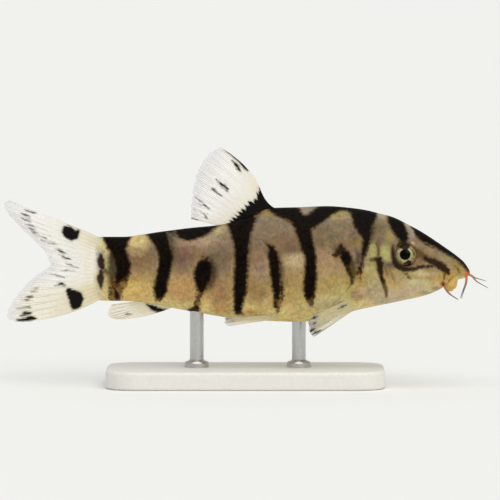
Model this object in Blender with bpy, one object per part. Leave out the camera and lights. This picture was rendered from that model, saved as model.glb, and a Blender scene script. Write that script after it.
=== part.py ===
# Yoyo loach, life size, as a still museum model on a plain display stand.
# The snout points along +X, the fish's right side faces -Y and up is +Z.
# The origin is the centre of the stand base's underside. Sizes below are in millimetres.

from math import atan2, cos, pi, radians, sin

import bmesh
import bpy
from mathutils import Matrix, Vector

MM = 0.001
GAP = 0.3

# Body outline: (x, z) along the back and along the belly, at the mid plane
SNOUT_X = 48.4
SNOUT_Z = 24.4
SNOUT_ROUND = 1.9
STALK_END_X = -31.4
BACK_LINE = (
    (-31.4, 32.3), (-22.7, 32.4), (-12.4, 33.8), (-5.1, 34.6), (-0.1, 36.4), (5.5, 38.2),
    (11.7, 38.6), (19.9, 38.8), (25.1, 38.2), (29.0, 37.1), (34.2, 35.2), (38.0, 33.3),
    (41.9, 30.9), (45.8, 27.8), (48.4, 24.9),
)
BELLY_LINE = (
    (-31.4, 18.5), (-24.9, 18.4), (-20.6, 17.8), (-15.2, 16.7), (-9.8, 15.7), (-1.2, 14.4),
    (5.3, 14.0), (11.7, 13.8), (18.0, 14.7), (24.7, 16.5), (33.3, 18.3), (38.7, 19.5),
    (41.9, 20.8), (44.5, 22.6), (46.6, 23.1), (48.4, 23.4),
)

# Seen from above: half the width; the widest height as a share of the depth from the belly
HALF_WIDTH = (
    (-31.4, 2.3), (-25.0, 3.1), (-15.0, 4.5), (-5.0, 5.8), (5.0, 6.8), (13.0, 7.2),
    (20.0, 7.3), (26.0, 7.0), (31.0, 6.3), (35.0, 5.5), (39.0, 4.5), (43.0, 3.3), (48.4, 2.0),
)
WIDEST_AT = ((-31.4, 0.5), (5.0, 0.46), (26.0, 0.44), (36.0, 0.42), (48.4, 0.48))
ROUND_ABOVE = ((-31.4, 2.0), (10.0, 1.85), (34.0, 1.8), (48.4, 2.0))
ROUND_BELOW = ((-31.4, 2.0), (5.0, 2.3), (30.0, 2.4), (48.4, 2.2))
RING_SIDES = 32
TRUNK_STEP = 2.0
HEAD_STEP = 1.0
HEAD_STATIONS_X = 26.0
SNOUT_RINGS = 6
SNOUT_LAST_RING = 0.98
LINE_WELD = 0.002
BALL_SIDES = 18
BALL_RINGS = 10
SHARP_ANGLE = 40.0

# Thin cuts between the parts of the body
GILL_TOP = (27.0, 38.2)
GILL_FOOT = (30.4, 17.9)
STALK_CUT_X = -15.6

# Muzzle pad round the mouth, under the snout
LIP_CENTRE = (44.15, 0.0, 22.1)
LIP_RADII = (1.55, 1.75, 1.85)

# Eyes
EYE_X = 34.4
EYE_Z = 28.5
EYE_RADIUS = 2.4
EYE_DEPTH = 1.6
EYE_SUNK = 0.95

# Fins: all blades thin towards the edge
BLADE_EDGE = 0.54
ACROSS_MIDDLE = Vector((0, 1, 0))
DORSAL_BASE_X = (5.6, -5.0)
DORSAL_ROOT = 1.3
DORSAL_GRID = (16, 7)
DORSAL_MARGIN = (
    (-5.3, 51.4), (-7.4, 49.9), (-9.4, 46.6), (-10.5, 43.4), (-11.2, 40.2), (-11.7, 37.6), (-11.7, 36.0),
)
DORSAL_LEAD_BOW = (0.7, 0.4)
ANAL_BASE_X = (-15.2, -21.6)
ANAL_ROOT = 1.0
ANAL_GRID = (10, 5)
ANAL_MARGIN = ((-26.4, 14.3), (-28.4, 14.4), (-29.7, 15.3), (-29.0, 17.6))
ANAL_LEAD_BOW = (0.2, -0.5)
TAIL_GRID = (24, 8)
TAIL_MARGIN = (
    (-50.9, 40.1), (-52.0, 39.2), (-51.3, 37.4), (-49.7, 35.5), (-47.9, 33.6), (-45.7, 31.5),
    (-43.5, 29.2), (-42.4, 27.1), (-42.3, 25.7), (-44.3, 24.4), (-46.5, 22.6), (-48.6, 20.3),
    (-50.3, 17.9), (-51.3, 15.7), (-51.0, 14.4), (-49.6, 13.8),
)
TAIL_TOP_BOW = (0.0, 0.3)
TAIL_FOOT_BOW = (0.0, -1.5)

# Paired fins, right side: body stations and angles of the base, and points of the margin
BREAST_GRID = (10, 6)
BREAST_BASE = ((23.9, 154.0), (21.4, 131.0))
BREAST_MARGIN = ((14.6, -9.2, 11.1), (13.7, -10.3, 12.6), (13.6, -10.8, 14.2), (14.3, -10.6, 15.6))
PELVIC_GRID = (6, 6)
PELVIC_BASE = ((6.6, 158.0), (4.2, 148.0))
PELVIC_MARGIN = ((-3.6, -6.1, 13.3), (-4.5, -5.7, 13.9), (-4.2, -5.2, 14.5), (-3.2, -4.8, 14.8))
PAIRED_ROOT = 0.8
PAIRED_CLEAR = 0.75

# Barbels, right side, root first: two on the snout tip, one at the mouth corner, one on the chin
BARBEL_ROOT = 0.62
BARBEL_TIP = 0.5
BARBEL_ROUNDNESS = 2
BARBEL_STEPS = 12
BARBELS = {
    "barbel_snout_front": ((48.7, -0.6, 23.9), (49.7, -1.1, 22.6), (51.1, -1.9, 21.8), (53.0, -2.9, 20.9)),
    "barbel_snout_rear": ((47.5, -1.75, 22.6), (47.3, -2.3, 21.4), (46.9, -2.8, 20.0), (46.2, -3.2, 18.6)),
    "barbel_mouth": ((42.8, -2.35, 20.9), (43.4, -2.7, 20.1), (44.3, -3.1, 19.4), (45.8, -3.6, 18.5)),
    "barbel_chin": ((42.9, -0.75, 20.0), (42.9, -0.85, 19.7), (42.8, -0.95, 19.4), (42.6, -1.1, 19.1)),
}
FAR_FRONT_BARBEL = ((48.7, 0.6, 24.0), (49.6, 1.1, 23.2), (50.5, 1.8, 22.9), (52.1, 2.7, 22.4))

# Display stand: a flat base and two rods
BASE_LENGTH = 60.0
BASE_WIDTH = 30.0
BASE_HEIGHT = 4.0
BASE_CORNER = 7.0
BASE_EDGE = 0.8
ROD_SIDES = 24
ROD_RADIUS = 1.5
ROD_SEAT = 2.5
ROD_FRONT_X = 11.5
ROD_REAR_X = -10.5

# Surface colours and finish: linear colour, roughness, metallic
FINISH = {
    "skin": ((0.33, 0.25, 0.13), 0.35, 0.0),
    "fin": ((0.78, 0.72, 0.55), 0.4, 0.0),
    "eye": ((0.03, 0.03, 0.02), 0.05, 0.0),
    "barbel": ((0.55, 0.25, 0.12), 0.4, 0.0),
    "stand": ((0.75, 0.74, 0.7), 0.5, 0.0),
    "rod": ((0.6, 0.6, 0.6), 0.3, 1.0),
}


def material(finish):
    """The Principled material of one finish, made once."""
    made = bpy.data.materials.get(finish)
    if made:
        return made
    colour, roughness, metallic = FINISH[finish]
    made = bpy.data.materials.new(finish)
    made.use_nodes = True
    shader = made.node_tree.nodes["Principled BSDF"]
    shader.inputs["Base Color"].default_value = (*colour, 1.0)
    shader.inputs["Roughness"].default_value = roughness
    shader.inputs["Metallic"].default_value = metallic
    return made


def finish_object(name, bm, finish):
    """One closed mesh in millimetres becomes a named object in metres."""
    bmesh.ops.remove_doubles(bm, verts=bm.verts, dist=LINE_WELD)
    bmesh.ops.recalc_face_normals(bm, faces=bm.faces)
    bmesh.ops.scale(bm, vec=(MM, MM, MM), verts=bm.verts)
    mesh = bpy.data.meshes.new(name)
    bm.to_mesh(mesh)
    bm.free()
    mesh.materials.append(material(finish))
    mesh.shade_smooth()
    mesh.set_sharp_from_angle(angle=radians(SHARP_ANGLE))
    made = bpy.data.objects.new(name, mesh)
    bpy.context.scene.collection.objects.link(made)
    return made


def tangent(points, i):
    """The slope at a point of a line that never swings past its own points."""
    if i in (0, len(points) - 1):
        near = points[1] if i == 0 else points[i - 1]
        return (points[i][1] - near[1]) / (points[i][0] - near[0])
    before = (points[i][1] - points[i - 1][1]) / (points[i][0] - points[i - 1][0])
    after = (points[i + 1][1] - points[i][1]) / (points[i + 1][0] - points[i][0])
    if before * after <= 0.0:
        return 0.0
    return 2.0 * before * after / (before + after)


def along(points, x):
    """Height of the smooth line through the points, at the station x."""
    x = min(max(x, points[0][0]), points[-1][0])
    i = max(k for k in range(len(points) - 1) if points[k][0] <= x)
    x0, y0 = points[i]
    x1, y1 = points[i + 1]
    span = x1 - x0
    t = (x - x0) / span
    rise = tangent(points, i) * span * (t ** 3 - 2 * t ** 2 + t)
    fall = tangent(points, i + 1) * span * (t ** 3 - t ** 2)
    return y0 * (2 * t ** 3 - 3 * t ** 2 + 1) + rise + y1 * (3 * t ** 2 - 2 * t ** 3) + fall


def bend(points, t):
    """The point at t, from 0 to 1, of a smooth curve through a few points in space."""
    count = len(points) - 1
    i = min(int(t * count), count - 1)
    t = t * count - i
    before = points[max(i - 1, 0)]
    start = points[i]
    end = points[i + 1]
    after = points[min(i + 2, count)]
    drift = (end - before) * t + (2 * before - 5 * start + 4 * end - after) * t ** 2
    return start + 0.5 * (drift + (3 * start - before - 3 * end + after) * t ** 3)


def skin_point(x, angle):
    """A point of the body's surface; the angle runs from the back over the right side."""
    top = along(BACK_LINE, x)
    foot = along(BELLY_LINE, x)
    half = along(HALF_WIDTH, x)
    middle = foot + along(WIDEST_AT, x) * (top - foot)
    past = max(0.0, x - (SNOUT_X - SNOUT_ROUND)) / SNOUT_ROUND
    shrink = max(0.0, 1.0 - past * past) ** 0.5
    middle = middle + (SNOUT_Z - middle) * past * past
    up = (top - middle) * shrink if cos(angle) > 0 else (middle - foot) * shrink
    power = 2.0 / along(ROUND_ABOVE if cos(angle) > 0 else ROUND_BELOW, x)
    height = abs(cos(angle)) ** power * up
    side = abs(sin(angle)) ** power * half * shrink
    return Vector((x, -side if sin(angle) > 0 else side, middle + (height if cos(angle) > 0 else -height)))


def outward(x, angle):
    """The direction that points straight out of the skin there."""
    step = 0.02
    length = skin_point(x + step, angle) - skin_point(x - step, angle)
    round_it = skin_point(x, angle + step) - skin_point(x, angle - step)
    normal = length.cross(round_it).normalized()
    return normal if normal.dot(Vector((0, -sin(angle), cos(angle)))) > 0 else -normal


def stations():
    """Places of the body's rings, close together towards the snout."""
    places = []
    x = STALK_END_X
    while x < SNOUT_X - SNOUT_ROUND:
        places.append(x)
        x += TRUNK_STEP if x < HEAD_STATIONS_X else HEAD_STEP
    for k in range(SNOUT_RINGS):
        turn = SNOUT_LAST_RING * pi / 2 * k / (SNOUT_RINGS - 1)
        places.append(SNOUT_X - SNOUT_ROUND + SNOUT_ROUND * sin(turn))
    return places


def whole_body():
    """The body from the tail's root to the snout, closed at both ends."""
    bm = bmesh.new()
    rings = []
    for x in stations():
        ring = bmesh.ops.create_circle(bm, segments=RING_SIDES, radius=1.0)["verts"]
        for vert in ring:
            vert.co = skin_point(x, atan2(vert.co.x, vert.co.y))
        rings.append(list({edge for vert in ring for edge in vert.link_edges}))
    for ring, following in zip(rings, rings[1:]):
        bmesh.ops.bridge_loops(bm, edges=ring + following)
    bmesh.ops.holes_fill(bm, edges=bm.edges, sides=0)
    return bm


def cut_away(bm, point, normal):
    """Removes what lies beyond a plane and closes the cut."""
    geometry = bm.verts[:] + bm.edges[:] + bm.faces[:]
    bmesh.ops.bisect_plane(
        bm, geom=geometry, dist=0.0001, plane_co=point, plane_no=normal, clear_outer=True
    )
    bmesh.ops.holes_fill(bm, edges=bm.edges, sides=0)


def gill_plane(shift):
    """A point on the slanted gill cut and its direction, moved forward by shift."""
    fall = Vector((GILL_FOOT[0] - GILL_TOP[0], 0, GILL_FOOT[1] - GILL_TOP[1])).normalized()
    forward = Vector((-fall.z, 0, fall.x))
    return Vector((GILL_TOP[0], 0, GILL_TOP[1])) + forward * shift, forward


def eye_matrix(side):
    """Place and facing of an eye; side is -1 for the right eye and 1 for the left."""
    angle = min((radians(a) for a in range(20, 90)), key=lambda a: abs(skin_point(EYE_X, a).z - EYE_Z))
    normal = outward(EYE_X, angle)
    centre = skin_point(EYE_X, angle) - normal * EYE_SUNK
    if side > 0:
        normal.y = -normal.y
        centre.y = -centre.y
    return Matrix.Translation(centre) @ normal.to_track_quat("Z", "Y").to_matrix().to_4x4()


def eye_ball(side, extra):
    """The flattened ball of one eye, larger by extra where it is used as a cutter."""
    bm = bmesh.new()
    bmesh.ops.create_uvsphere(bm, u_segments=BALL_SIDES, v_segments=BALL_RINGS, radius=1.0)
    radius = EYE_RADIUS + extra
    bmesh.ops.scale(bm, vec=(radius, radius, EYE_DEPTH + extra), verts=bm.verts)
    bmesh.ops.transform(bm, matrix=eye_matrix(side), verts=bm.verts)
    return bm


def boolean(target, tool, operation):
    """Joins or cuts the target with a hidden tool object."""
    tool.hide_render = True
    tool.display_type = "WIRE"
    change = target.modifiers.new(tool.name, "BOOLEAN")
    change.operation = operation
    change.solver = "EXACT"
    change.object = tool


def head():
    """Everything ahead of the gill edge, with eye sockets and the pad round the mouth."""
    bm = whole_body()
    point, forward = gill_plane(GAP / 2)
    cut_away(bm, point, -forward)
    made = finish_object("head", bm, "skin")
    pad = bmesh.new()
    bmesh.ops.create_uvsphere(pad, u_segments=BALL_SIDES, v_segments=BALL_RINGS, radius=1.0)
    bmesh.ops.scale(pad, vec=LIP_RADII, verts=pad.verts)
    bmesh.ops.translate(pad, vec=LIP_CENTRE, verts=pad.verts)
    boolean(made, finish_object("guide_lips", pad, "skin"), "UNION")
    for side, word in ((-1, "right"), (1, "left")):
        boolean(made, finish_object("guide_socket_" + word, eye_ball(side, GAP), "skin"), "DIFFERENCE")


def trunk():
    """From the gill edge back to the end of the belly."""
    bm = whole_body()
    point, forward = gill_plane(-GAP / 2)
    cut_away(bm, point, forward)
    cut_away(bm, Vector((STALK_CUT_X + GAP / 2, 0, 0)), Vector((-1, 0, 0)))
    finish_object("trunk", bm, "skin")


def tail_stalk():
    """The narrow part between the belly and the tail fin."""
    bm = whole_body()
    cut_away(bm, Vector((STALK_CUT_X - GAP / 2, 0, 0)), Vector((1, 0, 0)))
    finish_object("tail_stalk", bm, "skin")


def eyes():
    """Both eyeballs, each in its socket."""
    for side, word in ((-1, "right"), (1, "left")):
        finish_object("eye_" + word, eye_ball(side, 0.0), "eye")


def blade(name, base, margin, bows, root_half, across, grid):
    """A fin: a thin closed blade whose rays run from the base line out to the margin."""
    bm = bmesh.new()
    bmesh.ops.create_grid(bm, x_segments=grid[0], y_segments=grid[1], size=0.5)
    raised = bmesh.ops.extrude_face_region(bm, geom=bm.faces[:])["geom"]
    for vert in raised:
        if isinstance(vert, bmesh.types.BMVert):
            vert.co.z = 1.0
    for vert in bm.verts:
        u = vert.co.x + 0.5
        v = vert.co.y + 0.5
        bow = (bows[0] * (1 - u) ** 2 + bows[1] * u ** 2) * 4 * v * (1 - v)
        centre = base(u).lerp(bend(margin, u), v) + bow
        half = BLADE_EDGE / 2 + (root_half(u) - BLADE_EDGE / 2) * (1 - v) ** 3
        vert.co = centre + across * (half if vert.co.z > 0.5 else -half)
    return finish_object(name, bm, "fin")


def flat(points):
    """Points of the mid plane as vectors."""
    return [Vector((x, 0, z)) for x, z in points]


def dorsal_fin():
    """The tall fin on the back."""
    front, rear = DORSAL_BASE_X

    def base(u):
        x = front + (rear - front) * u
        return Vector((x, 0, along(BACK_LINE, x) + GAP))

    bows = flat((DORSAL_LEAD_BOW, (0, 0)))
    blade("dorsal_fin", base, flat(DORSAL_MARGIN), bows, lambda u: DORSAL_ROOT / 2,
          ACROSS_MIDDLE, DORSAL_GRID)


def anal_fin():
    """The small fin under the tail stalk, folded back."""
    front, rear = ANAL_BASE_X

    def base(u):
        x = front + (rear - front) * u
        return Vector((x, 0, along(BELLY_LINE, x) - GAP))

    bows = flat((ANAL_LEAD_BOW, (0, 0)))
    blade("anal_fin", base, flat(ANAL_MARGIN), bows, lambda u: ANAL_ROOT / 2,
          ACROSS_MIDDLE, ANAL_GRID)


def caudal_fin():
    """The forked tail fin, as thick as the tail stalk where it starts."""
    top = along(BACK_LINE, STALK_END_X)
    foot = along(BELLY_LINE, STALK_END_X)

    def base(u):
        return Vector((STALK_END_X - GAP, 0, top + (foot - top) * u))

    def root_half(u):
        return max(BLADE_EDGE / 2, along(HALF_WIDTH, STALK_END_X) * (1 - (2 * u - 1) ** 2) ** 0.5)

    bows = flat((TAIL_TOP_BOW, TAIL_FOOT_BOW))
    blade("caudal_fin", base, flat(TAIL_MARGIN), bows, root_half, ACROSS_MIDDLE, TAIL_GRID)


def paired_fins(word, base_places, margin_points, grid):
    """A left and a right fin on the lower side of the body."""
    roots = []
    for x, degrees in base_places:
        angle = radians(degrees)
        roots.append(skin_point(x, angle) + outward(x, angle) * PAIRED_CLEAR)
    for side, name in ((1, "right"), (-1, "left")):
        turn = Vector((1, side, 1))
        start, end = (root * turn for root in roots)
        margin = [Vector(point) * turn for point in margin_points]
        across = (end - start).cross(margin[1] - start).normalized()
        blade(word + "_fin_" + name, lambda u: start.lerp(end, u), margin, (Vector(), Vector()),
              lambda u: PAIRED_ROOT / 2, across, grid)


def barbel(name, points):
    """One feeler, a tapered tube along a smooth curve."""
    curve = bpy.data.curves.new(name, "CURVE")
    curve.dimensions = "3D"
    curve.bevel_depth = BARBEL_ROOT / 2 * MM
    curve.bevel_resolution = BARBEL_ROUNDNESS
    curve.use_fill_caps = True
    spline = curve.splines.new("POLY")
    spline.points.add(BARBEL_STEPS)
    path = [Vector(point) for point in points]
    for k, point in enumerate(spline.points):
        t = k / BARBEL_STEPS
        point.co = (*(bend(path, t) * MM), 1.0)
        point.radius = 1.0 + (BARBEL_TIP / BARBEL_ROOT - 1.0) * t
    curve.materials.append(material("barbel"))
    bpy.context.scene.collection.objects.link(bpy.data.objects.new(name, curve))


def barbels():
    """Four pairs; only the front pair bends differently on the two sides."""
    for name, points in BARBELS.items():
        barbel(name + "_right", points)
        mirrored = [(x, -y, z) for x, y, z in points]
        barbel(name + "_left", FAR_FRONT_BARBEL if name == "barbel_snout_front" else mirrored)


def rod(name, x, extra, foot, top):
    """An upright rod, or the wider cutter for its seat."""
    bm = bmesh.new()
    bmesh.ops.create_cone(
        bm, cap_ends=True, segments=ROD_SIDES, radius1=ROD_RADIUS + extra, radius2=ROD_RADIUS + extra,
        depth=top - foot, matrix=Matrix.Translation((x, 0, (top + foot) / 2))
    )
    return finish_object(name, bm, "rod")


def stand():
    """The flat base with a seat for each rod, and the rods that end just under the belly."""
    bm = bmesh.new()
    bmesh.ops.create_cube(bm, size=1.0)
    bmesh.ops.scale(bm, vec=(BASE_LENGTH, BASE_WIDTH, BASE_HEIGHT), verts=bm.verts)
    bmesh.ops.translate(bm, vec=(0, 0, BASE_HEIGHT / 2), verts=bm.verts)
    upright = [edge for edge in bm.edges if abs(edge.verts[0].co.z - edge.verts[1].co.z) > 1.0]
    bmesh.ops.bevel(bm, geom=upright, offset=BASE_CORNER, segments=6, profile=0.5, affect="EDGES")
    rim = [edge for edge in bm.edges if min(v.co.z for v in edge.verts) > BASE_HEIGHT - 0.1]
    bmesh.ops.bevel(bm, geom=rim, offset=BASE_EDGE, segments=2, profile=0.5, affect="EDGES")
    base = finish_object("stand_base", bm, "stand")
    for word, x in (("front", ROD_FRONT_X), ("rear", ROD_REAR_X)):
        seat = rod("guide_seat_" + word, x, GAP, BASE_HEIGHT - ROD_SEAT - GAP, BASE_HEIGHT + 1.0)
        boolean(base, seat, "DIFFERENCE")
        rod("stand_rod_" + word, x, 0.0, BASE_HEIGHT - ROD_SEAT, along(BELLY_LINE, x) - GAP)


for old in list(bpy.data.objects):
    bpy.data.objects.remove(old, do_unlink=True)

head()
trunk()
tail_stalk()
eyes()
dorsal_fin()
anal_fin()
caudal_fin()
paired_fins("pectoral", BREAST_BASE, BREAST_MARGIN, BREAST_GRID)
paired_fins("pelvic", PELVIC_BASE, PELVIC_MARGIN, PELVIC_GRID)
barbels()
stand()
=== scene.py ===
import math

import bmesh
import bpy
import numpy as np
from mathutils import Matrix, Vector


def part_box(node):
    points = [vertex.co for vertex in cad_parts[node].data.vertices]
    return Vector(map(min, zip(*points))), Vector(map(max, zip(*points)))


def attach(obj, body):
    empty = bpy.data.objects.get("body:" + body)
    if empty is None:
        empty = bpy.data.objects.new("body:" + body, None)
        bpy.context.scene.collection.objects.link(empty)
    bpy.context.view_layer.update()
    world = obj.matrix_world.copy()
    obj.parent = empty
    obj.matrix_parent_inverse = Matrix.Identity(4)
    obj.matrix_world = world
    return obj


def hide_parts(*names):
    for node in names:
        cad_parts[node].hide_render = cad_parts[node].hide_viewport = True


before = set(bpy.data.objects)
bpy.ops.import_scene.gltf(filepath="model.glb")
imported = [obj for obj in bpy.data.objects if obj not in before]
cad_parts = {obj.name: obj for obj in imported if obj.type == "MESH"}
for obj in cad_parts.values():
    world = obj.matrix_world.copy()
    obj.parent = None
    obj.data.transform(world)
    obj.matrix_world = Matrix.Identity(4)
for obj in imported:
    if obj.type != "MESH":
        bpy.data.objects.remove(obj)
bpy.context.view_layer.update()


# The skin
# One wet, scaleless-looking skin covers head, trunk and tail stalk: tiny sunk scales in soft flesh.
# It grows as one piece over the whole body and thins into the root of the tail fin.
MM = 0.001
SNOUT_X = 48.4
SNOUT_Z = 24.4
SNOUT_ROUND = 1.7
# The body's form along x: its back and belly, its half width, how high up it is widest, and how
# square its cross-section is above and below that line
BACK_LINE = (
    (-34.6, 31.3), (-33, 31.95), (-31.4, 32.15), (-26, 32.15), (-22.7, 32.55), (-19, 33.15), (-16, 33.55),
    (-12.4, 34.02), (-5.1, 34.8), (-0.1, 36.5), (2.4, 37.3), (4, 38.02), (5.5, 38.38), (11.7, 38.54),
    (15, 38.7), (18, 38.78), (20.5, 38.62), (25.1, 38.08), (27, 37.7), (29, 37.12), (31, 36.68),
    (32.5, 36.12), (34.2, 35.25), (38, 33.2), (41.9, 30.63), (45.8, 27.85), (48.4, 25.55),
)
BELLY_LINE = (
    (-34.6, 19.3), (-33, 18.7), (-31.4, 18.4), (-24.9, 18.25), (-20.6, 17.8), (-15.2, 16.7), (-9.8, 15.7),
    (-1.2, 14.4), (5.3, 14), (11.7, 13.8), (18, 14.7), (24.7, 16.5), (33.3, 18.3), (38.7, 19.5),
    (41.9, 20.8), (44.5, 22.6), (46.6, 23.1), (48.4, 23.4),
)
HALF_WIDTH = (
    (-34.6, 0.03), (-33.6, 0.2), (-32.6, 0.55), (-31.5, 1.1), (-30.2, 1.8), (-28, 2.6), (-25, 3.15),
    (-15, 4.5), (-5, 5.8), (5, 6.8), (13, 7.2), (20, 7.3), (26, 7), (31, 6.3), (35, 5.5), (39, 4.5),
    (43, 3.3), (48.4, 2),
)
WIDEST_AT = ((-34.6, 0.5), (5, 0.46), (26, 0.44), (36, 0.42), (48.4, 0.48))
ROUND_ABOVE = ((-34.6, 2), (10, 1.85), (34, 1.8), (48.4, 2))
ROUND_BELOW = ((-34.6, 2), (5, 2.3), (30, 2.4), (48.4, 2.2))
TAIL_TONGUE = 0.6
TAIL_TONGUE_X = -29.9
SKIN_SIDES = 208
# Rings of the skin as (number, x), closer together on the head
SKIN_RINGS = (
    (0, -34.6), (18, -31), (226, 27), (314, 41), (360, 46.5), (376, 48.4),
)


def soft_line(points, x, softness=0.6):
    """Height at x of a smooth line through a few points, its turns eased over the softness."""
    px, py = np.array(points, float).T
    step = 0.1
    fine = np.arange(px[0], px[-1] + step, step)
    gap = np.diff(px)
    rise = np.diff(py) / gap
    slope = np.concatenate(([rise[0]], np.zeros(len(px) - 2), [rise[-1]]))
    same = rise[1:] * rise[:-1] > 0
    slope[1:-1][same] = (2 * rise[1:] * rise[:-1] / (rise[1:] + rise[:-1] + 1e-12))[same]
    i = np.clip(np.searchsorted(px, fine) - 1, 0, len(px) - 2)
    t = np.clip((fine - px[i]) / gap[i], 0, 1)
    line = py[i] * (2 * t ** 3 - 3 * t ** 2 + 1) + py[i + 1] * (3 * t ** 2 - 2 * t ** 3)
    line += gap[i] * (slope[i] * (t ** 3 - 2 * t ** 2 + t) + slope[i + 1] * (t ** 3 - t ** 2))
    reach = int(3 * softness / step)
    weight = np.exp(-0.5 * (np.arange(-reach, reach + 1) * step / softness) ** 2)
    start = 2 * line[0] - line[reach:0:-1]
    end = 2 * line[-1] - line[-2:-reach - 2:-1]
    line = np.convolve(np.concatenate((start, line, end)), weight / weight.sum(), "valid")
    return np.interp(x, fine, line)


def ease(low, high, value):
    """0 below low, 1 above high, and a soft step between them."""
    t = np.clip((value - low) / (high - low), 0, 1)
    return t * t * (3 - 2 * t)


def body_surface(x, angle):
    """Points of the bare body form; the angle runs from the back over the right side."""
    top = soft_line(BACK_LINE, x)
    foot = soft_line(BELLY_LINE, x)
    middle = foot + soft_line(WIDEST_AT, x) * (top - foot)
    past = np.clip((x - (SNOUT_X - SNOUT_ROUND)) / SNOUT_ROUND, 0, 1)
    shrink = np.sqrt(1 - past * past)
    middle = middle + (SNOUT_Z - middle) * past * past
    upper = np.cos(angle) > 0
    reach = np.where(upper, top - middle, middle - foot) * shrink
    power = 2 / np.where(upper, soft_line(ROUND_ABOVE, x), soft_line(ROUND_BELOW, x))
    level = np.abs(np.cos(angle)) ** power
    z = middle + np.sign(np.cos(angle)) * level * reach
    y = -np.sign(np.sin(angle)) * np.abs(np.sin(angle)) ** power * soft_line(HALF_WIDTH, x) * shrink
    tongue = ease(TAIL_TONGUE_X, SKIN_RINGS[0][1], x) * TAIL_TONGUE * level ** 2
    return np.stack(np.broadcast_arrays(x + tongue, y, z), -1)


def grid_normals(points):
    """Outward directions on a closed ring grid of points."""
    around = np.roll(points, -1, 1) - np.roll(points, 1, 1)
    forward = np.gradient(points, axis=0)
    normal = np.cross(around, forward)
    return normal / (np.linalg.norm(normal, axis=-1, keepdims=True) + 1e-9)


def stroke_depth(stroke, x, z):
    """How deep inside a brush stroke of (x, z, half width) points a place lies, in mm."""
    best = np.full(np.shape(x), -9.0)
    for (x0, z0, r0), (x1, z1, r1) in zip(stroke, stroke[1:] or stroke):
        dx, dz = x1 - x0, z1 - z0
        t = np.clip(((x - x0) * dx + (z - z0) * dz) / (dx * dx + dz * dz + 1e-9), 0, 1)
        away = np.hypot(x - x0 - t * dx, z - z0 - t * dz)
        best = np.maximum(best, r0 + (r1 - r0) * t - away)
    return best


def deepest(strokes, x, z):
    """The depth inside the deepest of several strokes."""
    return np.max([stroke_depth(stroke, x, z) for stroke in strokes], axis=0)


rings, ring_x = np.array(SKIN_RINGS, float).T
skin_stations = np.interp(np.arange(rings[-1] + 1), rings, ring_x)
in_tip = skin_stations > SNOUT_X - SNOUT_ROUND
tip_turn = (skin_stations[in_tip] - (SNOUT_X - SNOUT_ROUND)) / SNOUT_ROUND * math.pi / 2
skin_stations[in_tip] = SNOUT_X - SNOUT_ROUND + SNOUT_ROUND * np.sin(tip_turn)
skin_angles = np.arange(SKIN_SIDES) * 2 * math.pi / SKIN_SIDES
form = body_surface(skin_stations[:, None], skin_angles[None, :])
facing = grid_normals(form)

# Relief of the head: the eye's socket and rim, the groove under it, gill cover, nostril and mouth.
# Grooves, rims and pits are each a (height, width); edges are where a soft step starts and ends.
BESIDE_MIDDLE = (0.25, 1.5)
EYE_FOLLOWS = 0.3
EYE_SHIFT = (0.15, 0, 0.15)
EYE_REACH = 4.5
SOCKET = 1.5
SOCKET_EDGE = (2.38, 2.02)
SOCKET_DISH = 0.2
SOCKET_DISH_EDGE = (2.9, 2.25)
EYE_RIM = (0.14, 0.35)
EYE_RIM_RADIUS = 3.05
UNDER_EYE_GROOVE = ((31.6, 27.2, 0), (32.4, 25.7, 0), (34.4, 25, 0), (36.4, 25.2, 0), (38.9, 26.2, 0))
UNDER_EYE_SIZE = (-0.2, 0.28)
GILL_EDGE = ((31.4, 17.4), (30.35, 19), (30.25, 20.4), (29.75, 22.1), (29.2, 24.2), (28.95, 25.5),
    (28.7, 26.8), (28.2, 29))
GILL_TOP = (30.5, 27.5)
GILL_FOOT = (18.2, 20.5)
GILL_STEP = 0.34
GILL_STEP_EDGE = (0, 0.16)
GILL_STEP_LENGTH = 3.2
GILL_CREASE = (-0.14, 0.6)
GILL_FOLD = ((30.15, 26.6, 0), (31.1, 24.2, 0), (32.7, 21.9, 0))
GILL_FOLD_SIZE = (-0.1, 0.25)
NOSTRIL = (41, 29)
NOSTRIL_RIM = (0.16, 0.16)
NOSTRIL_RIM_RADIUS = 0.42
NOSTRIL_PIT = (-0.3, 0.26)
LIP_CENTRE = (44.15, 22.6)
LIP_RADII = (1.6, 1.85, 2.25)
LIP_TOP = 24.2
MOUTH_X = 45.0
MOUTH_BEND = 0.45
MOUTH_SLIT = (0.3, 0.16)


def ridge(away, size):
    """The height of a soft ridge at a distance from its line; a negative height makes a groove."""
    height, width = size
    return height * np.exp(-(away / width) ** 2)


def eye_facing(side):
    """Centre and outward direction of an eye, from its solid in the frame."""
    low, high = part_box("eye_left" if side > 0 else "eye_right")
    centre = np.array((low + high) / 2) / MM + EYE_SHIFT
    near = np.linalg.norm(form - centre, axis=-1)
    outward = facing[np.unravel_index(near.argmin(), near.shape)] * EYE_FOLLOWS + np.array((0, side, 0))
    return centre, outward / np.linalg.norm(outward)


def head_relief(points):
    """How far each point of the skin stands out from the bare form, in mm."""
    x, y, z = np.moveaxis(points, -1, 0)
    out = ridge(stroke_depth(UNDER_EYE_GROOVE, x, z), UNDER_EYE_SIZE)
    out += ridge(stroke_depth(GILL_FOLD, x, z), GILL_FOLD_SIZE)
    pit = np.hypot(x - NOSTRIL[0], z - NOSTRIL[1])
    out += ridge(pit - NOSTRIL_RIM_RADIUS, NOSTRIL_RIM) + ridge(pit, NOSTRIL_PIT)
    ahead = x - np.interp(z, [p[1] for p in GILL_EDGE], [p[0] for p in GILL_EDGE])
    step = GILL_STEP * ease(*GILL_STEP_EDGE, ahead) * np.exp(-np.maximum(ahead, 0) / GILL_STEP_LENGTH)
    reach = ease(*GILL_TOP, z) * ease(*GILL_FOOT, z)
    out += reach * np.where(ahead > 0, step, ridge(ahead, GILL_CREASE))
    return out * ease(*BESIDE_MIDDLE, np.abs(y))


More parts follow.
